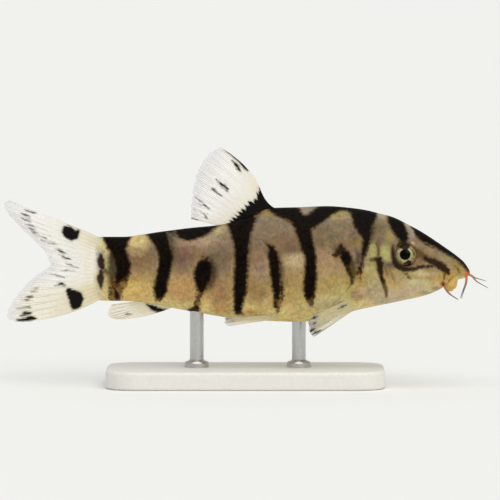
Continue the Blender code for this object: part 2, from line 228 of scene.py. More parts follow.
form += facing * head_relief(form)[..., None]
for side in (-1, 1):
    centre, outward = eye_facing(side)
    from_eye = form - centre
    ahead = from_eye @ outward
    apart = np.linalg.norm(from_eye - ahead[..., None] * outward, axis=-1)
    near = (np.sign(form[..., 1]) == side) & (apart < EYE_REACH)
    sink = ridge(apart - EYE_RIM_RADIUS, EYE_RIM)
    sink -= SOCKET * ease(*SOCKET_EDGE, apart) + SOCKET_DISH * ease(*SOCKET_DISH_EDGE, apart)
    form += np.where(near, sink, 0)[..., None] * outward

x, y, z = np.moveaxis(form, -1, 0)
share = ((x - LIP_CENTRE[0]) / LIP_RADII[0]) ** 2 + (y / LIP_RADII[1]) ** 2
pad = LIP_CENTRE[1] - LIP_RADII[2] * np.clip(1 - share, 0, 1) ** 0.5
slit = ridge(x - MOUTH_X + MOUTH_BEND * y * y, MOUTH_SLIT) * (share < 0.95)
under = (z < LIP_TOP) & (share < 1)
form[..., 2] = np.where(under, np.minimum(z, pad + slit), z)

# Markings: each is one brush stroke of (x, z, half width) along the flank, in mm; smoke is the palest
BLACK_MARKS = {
    "stalk bar": ((-27.6, 33.2, 3.3), (-27.7, 31, 2.4), (-27.4, 29.3, 1.55), (-26.8, 27.8, 1.48),
        (-26.3, 26.1, 1.55), (-26.4, 24.8, 1.35), (-27.1, 23.5, 0.95), (-27.6, 22.5, 0.4)),
    "vent bar": ((-19.2, 33.6, 2.2), (-17.95, 30.8, 1.55), (-17.4, 29.3, 1.4), (-17.13, 27.8, 1.42),
        (-17.2, 26.1, 1.35), (-18, 22.6, 1.32), (-18.3, 20.9, 1.4), (-18.4, 19.95, 1.1)),
    "back line": ((-18, 34.3, 1.3), (-16.2, 34.4, 1.1), (-13, 34.7, 0.9)),
    "blob": ((-8.6, 26.4, 0.9), (-8.85, 25.6, 1.6), (-9.1, 24.6, 1.85), (-9.35, 23.2, 1.65),
        (-9.4, 21.8, 1.2), (-9.5, 20.6, 0.6)),
    "fin bar": ((-1, 35.6, 3), (-0.95, 32.3, 1.95), (-0.9, 30.8, 1.57), (-0.88, 29.3, 1.4),
        (-0.9, 25.9, 1.34), (-1.2, 20.7, 1.4), (-1.5, 17.9, 0.88), (-1.65, 16.5, 0.77)),
    "fin base": ((-3.4, 35.6, 0.9), (0.5, 37.4, 1.55), (2, 38.3, 1.25), (3.2, 39.2, 1.1), (4.4, 39.6, 0.8)),
    "middle bar": ((4.9, 30.3, 0.1), (5.6, 29.5, 0.65), (5.85, 28.2, 1), (6.1, 27.2, 1.02),
        (6.28, 25.6, 1.03), (6.32, 23.9, 1), (6.7, 20.7, 0.82), (6.85, 19.2, 0.55)),
    "fork bar": ((12.4, 34.3, 1.75), (12.55, 33, 1.54), (12.87, 31.5, 1.39), (13.78, 28.7, 1.18),
        (14, 27.2, 1.12), (13.88, 22.9, 1.3), (13.76, 20.7, 1.28), (13.7, 19.7, 0.95), (13.6, 18.9, 0.4)),
    "fork rear arm": ((6.2, 39.3, 1.8), (7.5, 38.2, 1.65), (9.1, 37.8, 1.9), (10.3, 37, 1.6),
        (11.1, 36.2, 1.45), (12.4, 34.3, 1.6)),
    "fork front arm": ((12.8, 34.9, 1.65), (14.3, 35.6, 1.5), (17.3, 37.97, 1.58), (18.8, 38.92, 1.6),
        (20.5, 39.35, 1.4), (22.3, 39.3, 1.5), (23.6, 38.6, 1.7)),
    "nape bar": ((25.6, 38.4, 3.1), (25.5, 37.1, 2.75), (25.25, 35.4, 2.1), (25.45, 33.8, 1.5),
        (25.85, 32.8, 1.12), (26.05, 31.5, 0.76), (25.25, 28.3, 0.4)),
    "shoulder": ((20.9, 28.8, 0.5), (21.35, 28.2, 0.95), (21.65, 27.4, 1.1), (21.85, 26.5, 0.65)),
    "eye bar": ((31.75, 37, 1.1), (32, 35.8, 1.33), (32.5, 34.7, 1.52), (33.15, 33.6, 1.4),
        (33.7, 32.5, 1.15), (33.95, 31.8, 0.95)),
    "snout top": ((36, 34.3, 0.3), (37.8, 33.3, 1.42), (38.9, 32.6, 1.68), (39.7, 32.05, 1.58),
        (40.6, 31.5, 1.32), (43, 29.8, 1.08), (45.6, 27.85, 0.65), (46.7, 26.9, 0.6), (47.6, 25.9, 0.52),
        (48.1, 25, 0.3)),
    "stalk bar corner": ((-30.3, 32.6, 0.45), (-29.6, 31.3, 0.9)),
    "saddle": ((-14.6, 33.9, 0.6), (-13.9, 33.4, 1.1), (-13.1, 33.1, 1.5), (-12.3, 33, 1.75),
        (-9.6, 34, 1.85), (-8.7, 34.5, 1.7), (-7.2, 34.9, 1.2), (-5.7, 35.2, 0.6)),
}
DARK_MARKS = {
    "snout side": ((38.4, 27.6, 0.35), (39.3, 27.2, 0.6), (40.5, 26.7, 0.72), (42.5, 25.5, 0.85),
        (43.3, 24.8, 0.6), (43.6, 24.3, 0.3)),
    "eye ring": ((31.7, 30.2, 0.2), (31.6, 28.7, 0.42), (31.8, 27.4, 0.5), (32.2, 26.4, 0.58),
        (33, 25.6, 0.6), (34, 25.2, 0.6), (35.1, 25.1, 0.5), (36.3, 25.25, 0.42), (37.4, 25.6, 0.33),
        (40, 25.9, 0.3)),
    "eyelid": ((32.5, 30, 0.1), (33.2, 30.7, 0.35), (34.2, 30.9, 0.5), (34.8, 30.7, 0.2)),
    "gill cap": ((26.9, 27.2, 0.3), (28.3, 27.35, 0.5), (28.9, 27.35, 0.45)),
    "gill edge": ((28.7, 27.1, 0.6), (28.7, 26.4, 0.75), (28.8, 25.4, 0.7), (28.95, 24.3, 0.5),
        (29.2, 23.3, 0.36), (29.6, 22.3, 0.25)),
    "nape foot": ((25.3, 28.7, 0.42), (24.75, 25.7, 0.28), (24.4, 24.8, 0.3), (24, 24.3, 0.12)),
    "shoulder back": ((20.4, 30, 0.45), (20.8, 29.3, 0.7), (20, 28.8, 0.65), (19.2, 28.4, 0.35)),
    "tail root upper": ((-31.2, 28.2, 0.35), (-31.15, 27, 0.82), (-31, 25.9, 0.7), (-31, 25.4, 0.35)),
    "tail root lower": ((-31.1, 24.7, 0.4), (-31.25, 23.3, 0.78), (-31.2, 22, 0.5), (-31.1, 21, 0.1)),
    "stalk bar heel": ((-27.9, 20.6, 0.2), (-27.7, 19.2, 0.6)),
    "stalk bar foot": ((-25.7, 24, 0.3), (-26, 23, 0.35)),
    "blob foot": ((-10.6, 16.6, 0.8), (-11.8, 15.9, 0.8)),
    "fin bar foot": ((-1.9, 15.7, 0.35), (-1.2, 15.7, 0.4), (-0.5, 15.5, 0.2)),
    "mouth corner": ((42.4, 22.6, 0), (42.6, 22, 0.3), (42.8, 21.6, 0.15)),
    "middle bar foot": ((6.5, 19.6, 0.5), (6.4, 17.2, 0.42)),
    "middle bar heel": ((7.75, 21.4, 0.45), (7.8, 20, 0.35)),
    "shoulder foot": ((21.5, 26.3, 0.4), (22.9, 23.2, 0.15), (22.9, 22, 0.12)),
}
RUST_MARKS = {
    "stalk bar foot": ((-26, 24.6, 1.4), (-27, 22.6, 1.6), (-27.8, 21, 1.5), (-28.1, 18.9, 1.4)),
    "vent bar foot": ((-18.6, 19.8, 0.9), (-18.8, 18.9, 0.8)),
    "blob top": ((-8.9, 27.4, 0.3), (-7.6, 27.3, 0.3)),
    "blob foot": ((-9.6, 20.9, 0.8), (-10.1, 19, 0.6), (-10.5, 17.4, 0.8)),
    "middle bar foot": ((7.7, 21.2, 0.35), (7.7, 19, 0.5), (7.1, 17.6, 0.65), (6.9, 16, 0.45)),
    "fork bar foot": ((13.8, 20.2, 1.2), (13.9, 18.4, 0.8), (14.1, 17.3, 0.3)),
    "shoulder back": ((18.9, 28.3, 0.3), (20, 28.1, 0.5)),
    "nape foot": ((24.9, 26, 0.45), (24.5, 24.6, 0.5), (24.5, 23.5, 0.3), (24.7, 22.6, 0.1)),
}
OLIVE_MARKS = {
    "shoulder foot": ((21.9, 26.3, 0.8), (22.3, 25.2, 0.82), (22.65, 24.4, 0.7), (22.8, 23.3, 0.45),
        (22.7, 22.2, 0.25), (22.2, 21.3, 0.1), (21.5, 20.4, -0.05)),
    "nape foot": ((24.6, 25.7, 0.2), (24.1, 24.7, 0.4), (23.5, 24.2, 0.4)),
    "gill edge foot": ((29.4, 22.8, 0.45), (30.05, 21, 0.4), (30.2, 20.2, 0.35), (30.2, 19.2, 0.2)),
    "gill fold": ((30.3, 26.2, -0.05), (30.9, 24.6, -0.15), (32.4, 21.4, -0.25)),
    "cheek mark": ((34.2, 24.2, 0.25), (34.8, 24.1, 0.2)),
    "cheek dot": ((35, 23.5, 0.3), (35.4, 23.2, 0.2)),
    "mouth crease": ((43.2, 21.7, -0.1), (43.8, 22.6, 0.05), (44.8, 23.7, -0.05)),
    "muzzle fold": ((43.4, 24.7, 0.3), (42.8, 24, 0.25), (42.7, 23, 0.15)),
    "eye fore arc": ((35.2, 30.8, 0.15), (36.1, 30, 0.22), (36.7, 28.9, 0.3), (36.8, 27.8, 0.2)),
    "snout side": ((36.9, 29.3, 0.3), (37.7, 28.5, 0.55), (38.6, 27.8, 0.6)),
    "snout top foot": ((37.6, 31.7, 0.15), (38.8, 30.5, 0.2), (40.5, 29.7, 0.15)),
    "middle bar tip": ((3.6, 31.5, 0), (4.8, 30.4, 0.2)),
    "cheek stripe": ((28, 31, 0.2), (28.4, 29.6, 0.2), (28.5, 28.4, 0.25)),
    "fork arm edge": ((5.4, 37.5, 0.1), (6.6, 37, 0.35), (8.2, 36.2, 0.3), (9.7, 35.2, 0.3),
        (10.7, 34.1, 0.1)),
    "muzzle mottle": ((44.9, 25.9, 0), (45.7, 25.2, 0.22), (46, 24.5, 0.05)),
}
SMOKE_MARKS = {
    "stalk bar": ((-28.6, 29, 0.5), (-28.4, 27.5, 1.3), (-28.35, 25, 1.5), (-28.4, 23, 1.3),
        (-28.4, 21, 0.8)),
    "tail root link": ((-30.8, 25.1, 0.2), (-30.2, 24.7, 0.8), (-29.4, 24.4, 0.95)),
    "vent bar": ((-16, 32, 0.4), (-15.7, 29.2, 0.5), (-15.6, 27, 0.3), (-16, 25.6, 0)),
    "blob": ((-9.2, 27.7, 0.3), (-7.6, 27.3, 0.7), (-7.1, 25.6, 1), (-7, 23.8, 1.05), (-7.6, 21.9, 0.9),
        (-8.3, 20.9, 0.4)),
    "fin bar": ((1.2, 32, 0.1), (0.8, 27, 0.15), (0.4, 21, 0.1)),
    "middle bar": ((7, 28.7, 0.4), (7.4, 26.5, 0.6), (7.6, 24, 0.7), (7.7, 22, 0.6)),
    "middle bar upper": ((3.6, 32.6, -0.4), (4.6, 31.2, -0.2), (5.6, 29.9, 0.2)),
    "shoulder": ((19.6, 29.4, 0.7), (20.4, 29.7, 0.9), (21.6, 28.4, 1), (22.2, 26.4, 1), (22.7, 25, 0.9),
        (22.8, 23.4, 0.5)),
    "shoulder to nape": ((23, 25.2, 0.5), (24, 25.4, 0.3), (24.7, 26.2, 0.2)),
    "eye to gill": ((29.4, 25.9, 0.5), (30.5, 26, 0.5), (31.9, 26, 0.6)),
    "nape": ((26.9, 34, 1), (27.2, 31, 0.1)),
    "eye front": ((36.8, 28.8, 0.2), (37.6, 28, 0.4), (38.5, 27.4, 0.4)),
    "under eye": ((33.6, 26.2, 0.4), (35.2, 26, 0.5), (36.4, 26.2, 0.1)),
    "flank crease upper": ((-25.2, 30.2, -0.3), (-22.4, 29, -0.2), (-19.5, 28, -0.3)),
    "flank crease": ((-24.9, 28.1, -0.35), (-22, 27, -0.2), (-19.3, 26.2, -0.3)),
    "flank crease lower": ((-24.2, 26.2, -0.4), (-21.5, 25.6, -0.3), (-19.5, 24.7, -0.4)),
    "flank edge": ((8.2, 28.6, -0.5), (10.4, 28.9, -0.35), (12.2, 29, -0.4)),
    "nape side": ((23.6, 29.4, 0.2), (24.2, 28, 0.5), (24, 26.6, 0.5)),
    "gill fold": ((30.7, 25.6, 0.1), (32.2, 22, -0.2)),
    "vent bar side": ((-16, 33.4, 0.8), (-15.4, 32.4, 0.4)),
    "gill cover": ((29.7, 26.4, 0.5), (30.1, 25.2, 0.4), (30.5, 23.8, 0)),
    "vent bar fore": ((-19.4, 28.2, -0.3), (-19.5, 26.8, -0.1), (-19.5, 25.4, -0.2)),
    "blob fore": ((-11, 26, -0.2), (-11.1, 24.5, -0.1), (-10.9, 22.6, -0.2)),
    "shoulder foot": ((22.5, 26.2, 1.2), (22.9, 24.9, 1.2), (23, 23.4, 0.6)),
    "fin bar top": ((3, 38.2, 0.6), (2.3, 37.2, 0.6), (2, 35.8, 0.3)),
    "stalk heel": ((-29.5, 24, 0.3), (-28.9, 19.5, 0.3)),
}
# The strokes lie as they show from a little above, so they sit lower where the flank bulges out
ELEVATION = math.radians(3.2)
VIEW_DROP = math.tan(ELEVATION)


def paint(code, strength=1):
    """An sRGB hex colour as linear red, green, blue and strength."""
    values = [int(code[i:i + 2], 16) / 255 for i in (0, 2, 4)]
    linear = [v / 12.92 if v <= 0.04045 else ((v + 0.055) / 1.055) ** 2.4 for v in values]
    return (*linear, strength)


# Body colours, from the back to the belly, and soft washes of (paint, x, z, reach x, reach z, strength)
# The belly is pale gold of its own, and its lowest paints, at depth 0 and 0.08, are lightened further as
# painted light thrown up onto it from below
DEPTH_PAINTS = (
    (0, "dcc88a"), (0.08, "d9c384"), (0.18, "c0a669"), (0.3, "ad9158"), (0.5, "9f8562"), (0.57, "9a8060"),
    (0.66, "80694d"), (0.85, "81715a"), (1, "8a7a5e"),
)
WASHES = (
    ("faf4e8", -34.2, 26, 2.7, 14, 1), ("d9cc96", -31, 30.4, 1.1, 1.6, 0.9),
    ("d2c286", -30.1, 26, 0.9, 12, 0.8), ("cdbf88", -32, 22.5, 0.9, 2.5, 0.6),
    ("d0b06c", -23.8, 20.2, 4, 2.6, 1), ("ccb277", -23.2, 31.2, 2.7, 2, 1),
    ("8b6d4b", -22.5, 26.5, 3, 1.9, 0.9), ("ac8e64", -23.4, 28.8, 2, 1, 0.8),
    ("706a58", -15.2, 32.4, 1.7, 2.6, 0.8), ("866851", -12, 29.5, 3.6, 3, 0.8),
    ("6c5546", -13.8, 26.8, 2, 2.8, 0.8), ("bd9361", -13.6, 20.6, 3.6, 3, 0.9),
    ("70604c", -5.6, 26.6, 2.4, 3.6, 0.8), ("b2967a", -9.6, 31.3, 4.2, 1.5, 0.8),
    ("bcab7a", -5.8, 34, 1.5, 1.5, 0.8), ("a07a56", -5.6, 20, 2.6, 3.4, 0.9),
    ("b8905a", -4.8, 16.6, 2.6, 1.2, 0.8), ("8c7646", 4.5, 37.4, 1.6, 0.8, 0.9),
    ("957a58", 23.6, 19.2, 1.7, 0.9, 0.7), ("93805a", 26.5, 20, 0.7, 0.8, 0.7),
    ("76766e", 2.6, 35.4, 1.2, 0.8, 0.5), ("806e59", 2.6, 32.6, 2.2, 3, 0.7),
    ("836b54", 2.9, 27.5, 1.8, 2.4, 0.8), ("957e6c", 3.4, 24.4, 1.7, 2.2, 0.7),
    ("957850", 2.6, 20.4, 2.4, 2.6, 0.9), ("b38a4a", 1.4, 16, 1.8, 0.6, 0.8),
    ("c4ab74", 3.8, 17, 2.2, 1.5, 0.8), ("7b644b", 9.2, 30.6, 2.6, 2.2, 0.8),
    ("6f5b40", 10.2, 29.6, 2.2, 1.1, 0.8), ("bca780", 10.4, 27, 2.4, 1.55, 1),
    ("a18a59", 9.8, 21.8, 2, 3, 0.6), ("76664c", 17, 32.4, 2, 2.6, 0.8),
    ("a28e62", 19.7, 36.9, 2.9, 1.3, 0.8), ("a38767", 19.4, 26.8, 2.2, 2.2, 0.7),
    ("7a4f34", 19.4, 27.9, 0.9, 1.2, 0.6), ("ad965f", 18, 21.5, 2.4, 2.4, 0.6),
    ("b3a868", 20.6, 20, 2.4, 2.4, 0.7), ("7c6c42", 23.6, 31, 2, 1, 0.9), ("7a644e", 22.6, 33, 1.2, 1, 0.5),
    ("7e6656", 24.2, 27.6, 0.8, 1.7, 0.8), ("857862", 23.4, 27.6, 0.7, 1.2, 0.7),
    ("ada184", 29.2, 37.3, 1.3, 1.3, 0.95), ("746448", 28.4, 33.9, 1.8, 2.2, 0.95),
    ("6c5a4e", 28.6, 31, 0.5, 0.9, 0.8), ("6c5c46", 28.7, 29.4, 0.35, 2.2, 0.7),
    # a09a62 at the end of this line and a4a464 at the start of the next are a painted greenish-gold
    # iridescent sheen on the gill cover
    ("978652", 31, 32.4, 1, 1.5, 0.9), ("a09a62", 27.4, 29.2, 0.95, 2.1, 0.95),
    ("a4a464", 30, 28.7, 1.05, 2.1, 0.95), ("a89c66", 27, 25, 1.6, 2.4, 0.95),
    ("bba97c", 28, 22.2, 1.6, 1.7, 0.7), ("9a8a78", 31.2, 26.2, 1.3, 0.6, 0.6),
    ("ab9a7a", 28.2, 20.6, 2.6, 1.8, 0.9), ("a88a64", 31, 24.2, 0.9, 2.2, 0.7),
    ("a98468", 24.2, 20, 1.4, 1.2, 0.7), ("cfae8c", 25.2, 20.6, 0.7, 0.8, 0.6),
    ("a89668", 34.4, 23.4, 2.6, 1.4, 0.9), ("c4b384", 38, 24.3, 2.6, 0.75, 0.9),
    ("c4bb90", 36.8, 22.2, 3.2, 1, 0.8), ("c4b18b", 37.4, 21, 4, 0.9, 0.9),
    # Both washes on the next line are painted shade along the lower edge of the jaw, under the chin
    ("9a8c70", 38.6, 20, 2, 0.5, 0.8), ("94866a", 41.2, 21.1, 1.4, 0.5, 0.8),
    ("c0a98c", 33.4, 20, 3.6, 1.3, 0.9), ("bca98e", 30.6, 18.4, 4.6, 1.2, 0.9),
    ("9f8f78", 35.9, 33, 1, 1.4, 0.8), ("b0a08a", 35, 34.7, 1, 0.9, 0.9),
    ("7c6a50", 37.2, 31, 1.2, 1.2, 0.7), ("84684c", 37.2, 26.9, 1.4, 1.2, 0.9),
    # cdb48e, at the top front edge of the eye, is a painted highlight on the rim of the upper eyelid
    ("cdb48e", 35.9, 30.5, 0.5, 0.6, 0.9), ("907c58", 40.6, 29.2, 2.4, 1.2, 0.8),
    ("957a62", 38.2, 30.6, 2, 0.7, 0.6), ("9c8a62", 43.2, 27.4, 1.8, 1, 0.8),
    ("8a7250", 39.8, 25, 1.6, 0.7, 0.6), ("937c3c", 45.4, 26.2, 1.1, 1.2, 0.8),
    ("a38c4c", 46.4, 24.8, 1.1, 1.1, 0.8), ("d4ac60", 44.6, 21.4, 1.5, 1.7, 1),
    ("8f8678", 13.4, 38.2, 1.9, 1.4, 1), ("cbc090", 18, 17.6, 4, 1.8, 0.9),
    ("b98f42", 43.6, 23.4, 1.2, 1, 0.8), ("cf6c3e", 47.9, 23.9, 0.8, 0.9, 1),
    ("a85f2c", 42.4, 22, 0.7, 0.6, 0.9),
)


def skin_colours(points):
    """The soft ground colour of the skin, without its dark marks."""
    x, y, z = np.moveaxis(points, -1, 0)
    z = z - np.abs(y) * VIEW_DROP
    foot = soft_line(BELLY_LINE, x)
    depth = (z - foot) / (soft_line(BACK_LINE, x) - foot)
    levels = [level for level, code in DEPTH_PAINTS]
    paints = np.array([paint(code)[:3] for level, code in DEPTH_PAINTS])
    colour = np.stack([np.interp(depth, levels, paints[:, c]) for c in range(3)], -1)
    for code, cx, cz, rx, rz, strength in WASHES:
        share = strength * np.exp(-(((x - cx) / rx) ** 2 + ((z - cz) / rz) ** 2) ** 1.6)
        colour += (np.array(paint(code)[:3]) - colour) * share[..., None]
    return colour


def skin_marks(points):
    """Depth inside each kind of mark; the left side's marks lie a little differently."""
    x, y, z = np.moveaxis(points, -1, 0)
    z = z - np.abs(y) * VIEW_DROP
    # They differ only behind the head and below the back, where the two sides meet
    left = ease(0, 3, y) * ease(27, 22, x) * ease(35.25, 26.5, z)
    x = x + left * (1.1 * np.sin(x * 0.31 + 0.6) + 0.5 * np.sin(z * 0.5))
    kinds = {"black": BLACK_MARKS, "dark": DARK_MARKS, "rust": RUST_MARKS, "olive": OLIVE_MARKS,
             "smoke": SMOKE_MARKS}
    return {kind: deepest(marks.values(), x, z) for kind, marks in kinds.items()}


def new_mesh(bm, name):
    """The mesh of a bmesh, which is then freed."""
    mesh = bpy.data.meshes.new(name)
    bm.to_mesh(mesh)
    bm.free()
    return mesh


def read_points(mesh):
    """All of a mesh's points as rows of x, y, z."""
    flat = np.zeros(len(mesh.vertices) * 3, np.float32)
    mesh.vertices.foreach_get("co", flat)
    return flat.reshape(-1, 3)


def write_points(mesh, points):
    """Moves all of a mesh's points, given in mm."""
    mesh.vertices.foreach_set("co", (np.asarray(points) * MM).astype(np.float32).ravel())


def write_value(mesh, name, values):
    """Stores one number for each point, for the material to read."""
    stored = mesh.attributes.new(name, "FLOAT", "POINT")
    stored.data.foreach_set("value", np.asarray(values, np.float32).ravel())


def write_colour(mesh, name, values):
    """Stores one linear colour for each point."""
    four = np.concatenate((values, np.ones((len(values), 1))), 1).astype(np.float32)
    mesh.attributes.new(name, "FLOAT_COLOR", "POINT").data.foreach_set("color", four.ravel())


def close_up(mesh, apart=1e-7):
    """Merges the seams of a mesh, turns its faces outwards and smooths it."""
    work = bmesh.new()
    work.from_mesh(mesh)
    bmesh.ops.remove_doubles(work, verts=work.verts, dist=apart)
    bmesh.ops.dissolve_degenerate(work, dist=apart, edges=work.edges)
    bmesh.ops.recalc_face_normals(work, faces=work.faces)
    work.to_mesh(mesh)
    work.free()
    mesh.shade_smooth()


def add_piece(name, mesh, material, slot, *nodes):
    """A finished piece, which rides on the fish and stands for its CAD nodes."""
    piece = bpy.data.objects.new(name, mesh)
    bpy.context.scene.collection.objects.link(piece)
    mesh.materials.append(material)
    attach(piece, "root")
    if nodes:
        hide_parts(*nodes)


bm = bmesh.new()
bmesh.ops.create_grid(bm, x_segments=len(skin_stations) - 1, y_segments=SKIN_SIDES, size=0.5)
skin_mesh = new_mesh(bm, "loach_skin")
flat_points = read_points(skin_mesh)
ring_index = np.rint((flat_points[:, 0] + 0.5) * (len(skin_stations) - 1)).astype(int)
side_index = np.rint((flat_points[:, 1] + 0.5) * SKIN_SIDES).astype(int) % SKIN_SIDES
skin_points = form[ring_index, side_index]
write_points(skin_mesh, skin_points)
write_colour(skin_mesh, "wash", skin_colours(form)[ring_index, side_index])
for kind, inside in skin_marks(form).items():
    write_value(skin_mesh, kind, inside[ring_index, side_index])
# The pattern is fainter on the head, and gone where the skin runs out on the tail fin
along = skin_points[:, 0]
write_value(skin_mesh, "bare", 0.15 + 0.85 * ease(-31.6, -33.2, along) + 0.25 * ease(25, 31, along))
close_up(skin_mesh)


def feed(tree, made, inputs):
    """Gives a node its inputs: a value is set on the socket, another node's output is linked to it."""
    for key, value in inputs.items():
        if isinstance(value, bpy.types.NodeSocket):
            tree.links.new(value, made.inputs[key])
        else:
            made.inputs[key].default_value = value


def node(tree, kind, inputs=None, out=0, **settings):
    """Adds one node with its settings and inputs, and gives one of its outputs."""
    made = tree.nodes.new("ShaderNode" + kind)
    for name, value in settings.items():
        setattr(made, name, value)
    feed(tree, made, inputs or {})
    return made.outputs[out]


def new_material(name):
    """An empty node material with its output and Principled shader."""
    made = bpy.data.materials.new(name)
    made.use_nodes = True
    return made, made.node_tree, made.node_tree.nodes["Principled BSDF"]


def lay_paint(tree, under, over, measure, low, high, strength=1, step="LINEAR"):
    """Lays one colour over another where a measure rises from low to high."""
    share = node(tree, "MapRange", {0: measure, 1: low, 2: high, 3: 0, 4: strength},
                 interpolation_type=step)
    return node(tree, "Mix", {0: share, 6: under, 7: over}, out=2, data_type="RGBA")


# Wet loach skin: soft ground colour, near-black bars with brown, frayed edges, and a satin sheen.
# Pattern sizes are in mm; grains are 0.7 where real pigment cells are about 0.1, too fine to show.
BLOTCH = 1.7
MOTTLE = 1.5
GRAIN = 0.7
STREAK = 0.36
SCALES = 0.42
skin_material, tree, shader = new_material("wet_loach_skin")
place = node(tree, "TexCoord", out="Object")
upright = node(tree, "Mapping", {"Vector": place, "Scale": (1, 1, 0.4)})
blotch = node(tree, "TexNoise", {"Vector": place, "Scale": 1000 / BLOTCH, "Detail": 2, "Roughness": 0.6},
              out="Color")
mottle = node(tree, "TexNoise", {"Vector": place, "Scale": 1000 / MOTTLE, "Detail": 3, "Roughness": 0.6})
grain = node(tree, "TexNoise", {"Vector": place, "Scale": 1000 / GRAIN, "Detail": 1, "Roughness": 0.5})
streak = node(tree, "TexNoise", {"Vector": upright, "Scale": 1000 / STREAK, "Detail": 1, "Roughness": 0.5})
# Shade lightens and darkens the ground colour; fray breaks up the edges of the marks
shade = -0.2
for pattern, weight in ((mottle, 1.1), (grain, 0.65), (streak, 0.65)):
    shade = node(tree, "Math", {0: pattern, 1: weight, 2: shade}, operation="MULTIPLY_ADD")
fray = -0.95
for pattern, weight in ((grain, 1.3), (mottle, 0.6)):
    fray = node(tree, "Math", {0: pattern, 1: weight, 2: fray}, operation="MULTIPLY_ADD")
wash = node(tree, "Attribute", out="Color", attribute_name="wash")
bare = node(tree, "Attribute", out="Fac", attribute_name="bare")
hue = node(tree, "VectorMath", {0: blotch, 1: (0.45, 0.24, 0.62), 2: (0.775, 0.88, 0.69)},
           operation="MULTIPLY_ADD")
ground = node(tree, "VectorMath", {0: wash, 1: hue}, operation="MULTIPLY")
ground = node(tree, "VectorMath", {0: ground, 3: shade}, operation="SCALE")
ground = lay_paint(tree, ground, wash, bare, 0, 1)
rust = lay_paint(tree, paint("7d5322"), paint("2c1d0d"), grain, 0.4, 0.62)
ink = lay_paint(tree, paint("080605"), paint("180f06"), grain, 0.4, 0.62)
for kind, colour, low, high, strength, frayed in (
        ("smoke", paint("2f2a1a"), -0.8, 0.9, 0.85, 0.9),
        ("olive", paint("5a4620"), -0.3, 0.25, 0.85, 0.5),
        ("rust", rust, -0.3, 0.3, 0.85, 1),
        ("dark", paint("20130a"), -0.42, 0.32, 0.96, 0.55),
        ("black", paint("3c2a16"), -0.6, 0.12, 0.8, 0.75),
        ("black", ink, -0.2, 0.4, 1, 0.65)):
    inside = node(tree, "Attribute", out="Fac", attribute_name=kind)
    inside = node(tree, "Math", {0: fray, 1: frayed, 2: inside}, operation="MULTIPLY_ADD")
    ground = lay_paint(tree, ground, colour, inside, low, high, strength, "SMOOTHSTEP")
scales = node(tree, "TexVoronoi", {"Vector": place, "Scale": 1000 / SCALES}, out="Distance", feature="F1")
relief = node(tree, "Math", {0: mottle, 1: 1.5, 2: scales}, operation="MULTIPLY_ADD")
bump = node(tree, "Bump", {"Strength": 0.4, "Distance": 0.00008, "Height": relief})
gloss = node(tree, "MapRange", {0: grain, 1: 0.3, 2: 0.7, 3: 0.34, 4: 0.48})
feed(tree, shader, {"Base Color": ground, "Roughness": gloss, "Normal": bump, "Specular IOR Level": 0.03})
add_piece("loach_skin", skin_mesh, skin_material, "skin", "head", "trunk", "tail_stalk")


# The eyes
# Each is a ball set in its socket: a black pupil bulging through a cream to gold-brown iris.
# It is one turned piece of polished resin, painted behind its gloss; its back takes the rim's paint.
EYE_PROFILE = ((0, 1.64), (0.5, 1.6), (0.9, 1.5), (1.1, 1.4), (1.35, 1.32), (1.7, 1.13), (2.05, 0.83),
    (2.3, 0.46), (2.4, 0), (2.1, -0.8), (1.2, -1.4), (0, -1.6))
EYE_RINGS = 56
EYE_STEPS = 96
EYE_BACK = 3.0
PUPIL = 1.13
PUPIL_AT = (-0.17, 0.2)
IRIS_SHADES = {
    # The first two strokes are a painted shadow that the upper eyelid casts over the top of the iris
    "lid_shadow": ((-1.15, 1.9, 0.35), (-0.1, 1.8, 0.75), (0.4, 2.1, 0.55)),
    "lid edge": ((-0.3, 1.3, 0.1), (0, 1.3, 0.1)),
    "speck": ((-0.2, -1.75, 0.22), (0.25, -1.5, 0.32), (0.55, -1.2, 0.3), (0.75, -1.5, 0.48),
        (0.9, -2, 0.4)),
    "foot": ((-0.9, -2.3, 0.15), (1, -2.1, 0.4)),
    "fore arc": ((1.35, 1.2, 0.05), (1.65, 0.5, 0.12), (1.7, -0.1, 0.05)),
}


def curve_rows(points, share):
    """Points at many shares of a smooth curve through a few, as rows."""
    points = np.array(points, float)
    place = np.clip(share, 0, 1) * (len(points) - 1)
    i = np.minimum(place.astype(int), len(points) - 2)
    t = (place - i)[..., None]
    a, b, c, d = (points[np.clip(i + n, 0, len(points) - 1)] for n in (-1, 0, 1, 2))
    drift = (c - a) * t + (2 * a - 5 * b + 4 * c - d) * t ** 2
    return b + 0.5 * (drift + (3 * b - a - 3 * c + d) * t ** 3)


def turn_on_lathe(profile, steps):
    """A bmesh turned round the upright axis from a profile of radius and height."""
    bm = bmesh.new()
    line = [bm.verts.new((radius, 0, height)) for radius, height in profile]
    edges = [bm.edges.new(pair) for pair in zip(line, line[1:])]
    bmesh.ops.spin(bm, geom=line + edges, cent=(0, 0, 0), axis=(0, 0, 1), angle=2 * math.pi, steps=steps,
                   use_merge=True)
    return bm


# Cast eye resin: a cream to gold-brown iris, flecked dark and with a painted shadow of the upper eyelid
# across its top, round a black pupil, all glossy
FLECK = 0.5
eye_material, tree, shader = new_material("polished_eye_resin")
radius = node(tree, "Attribute", attribute_name="from_pupil", out="Fac")
place = node(tree, "TexCoord", out="Object")
fleck = node(tree, "TexNoise", {"Vector": place, "Scale": 1000 / FLECK, "Detail": 3})
edge = node(tree, "Math", {0: fleck, 1: 0.3, 2: radius}, operation="MULTIPLY_ADD")
dark = node(tree, "Attribute", out="Fac", attribute_name="dark")
iris = lay_paint(tree, paint("bcae86"), paint("8a7542"), edge, 1.5, 2.25)
iris = lay_paint(tree, iris, paint("86744a"), edge, 2.3, 2.6)
iris = lay_paint(tree, iris, paint("5f5228"), fleck, 0.46, 0.64, 0.6)
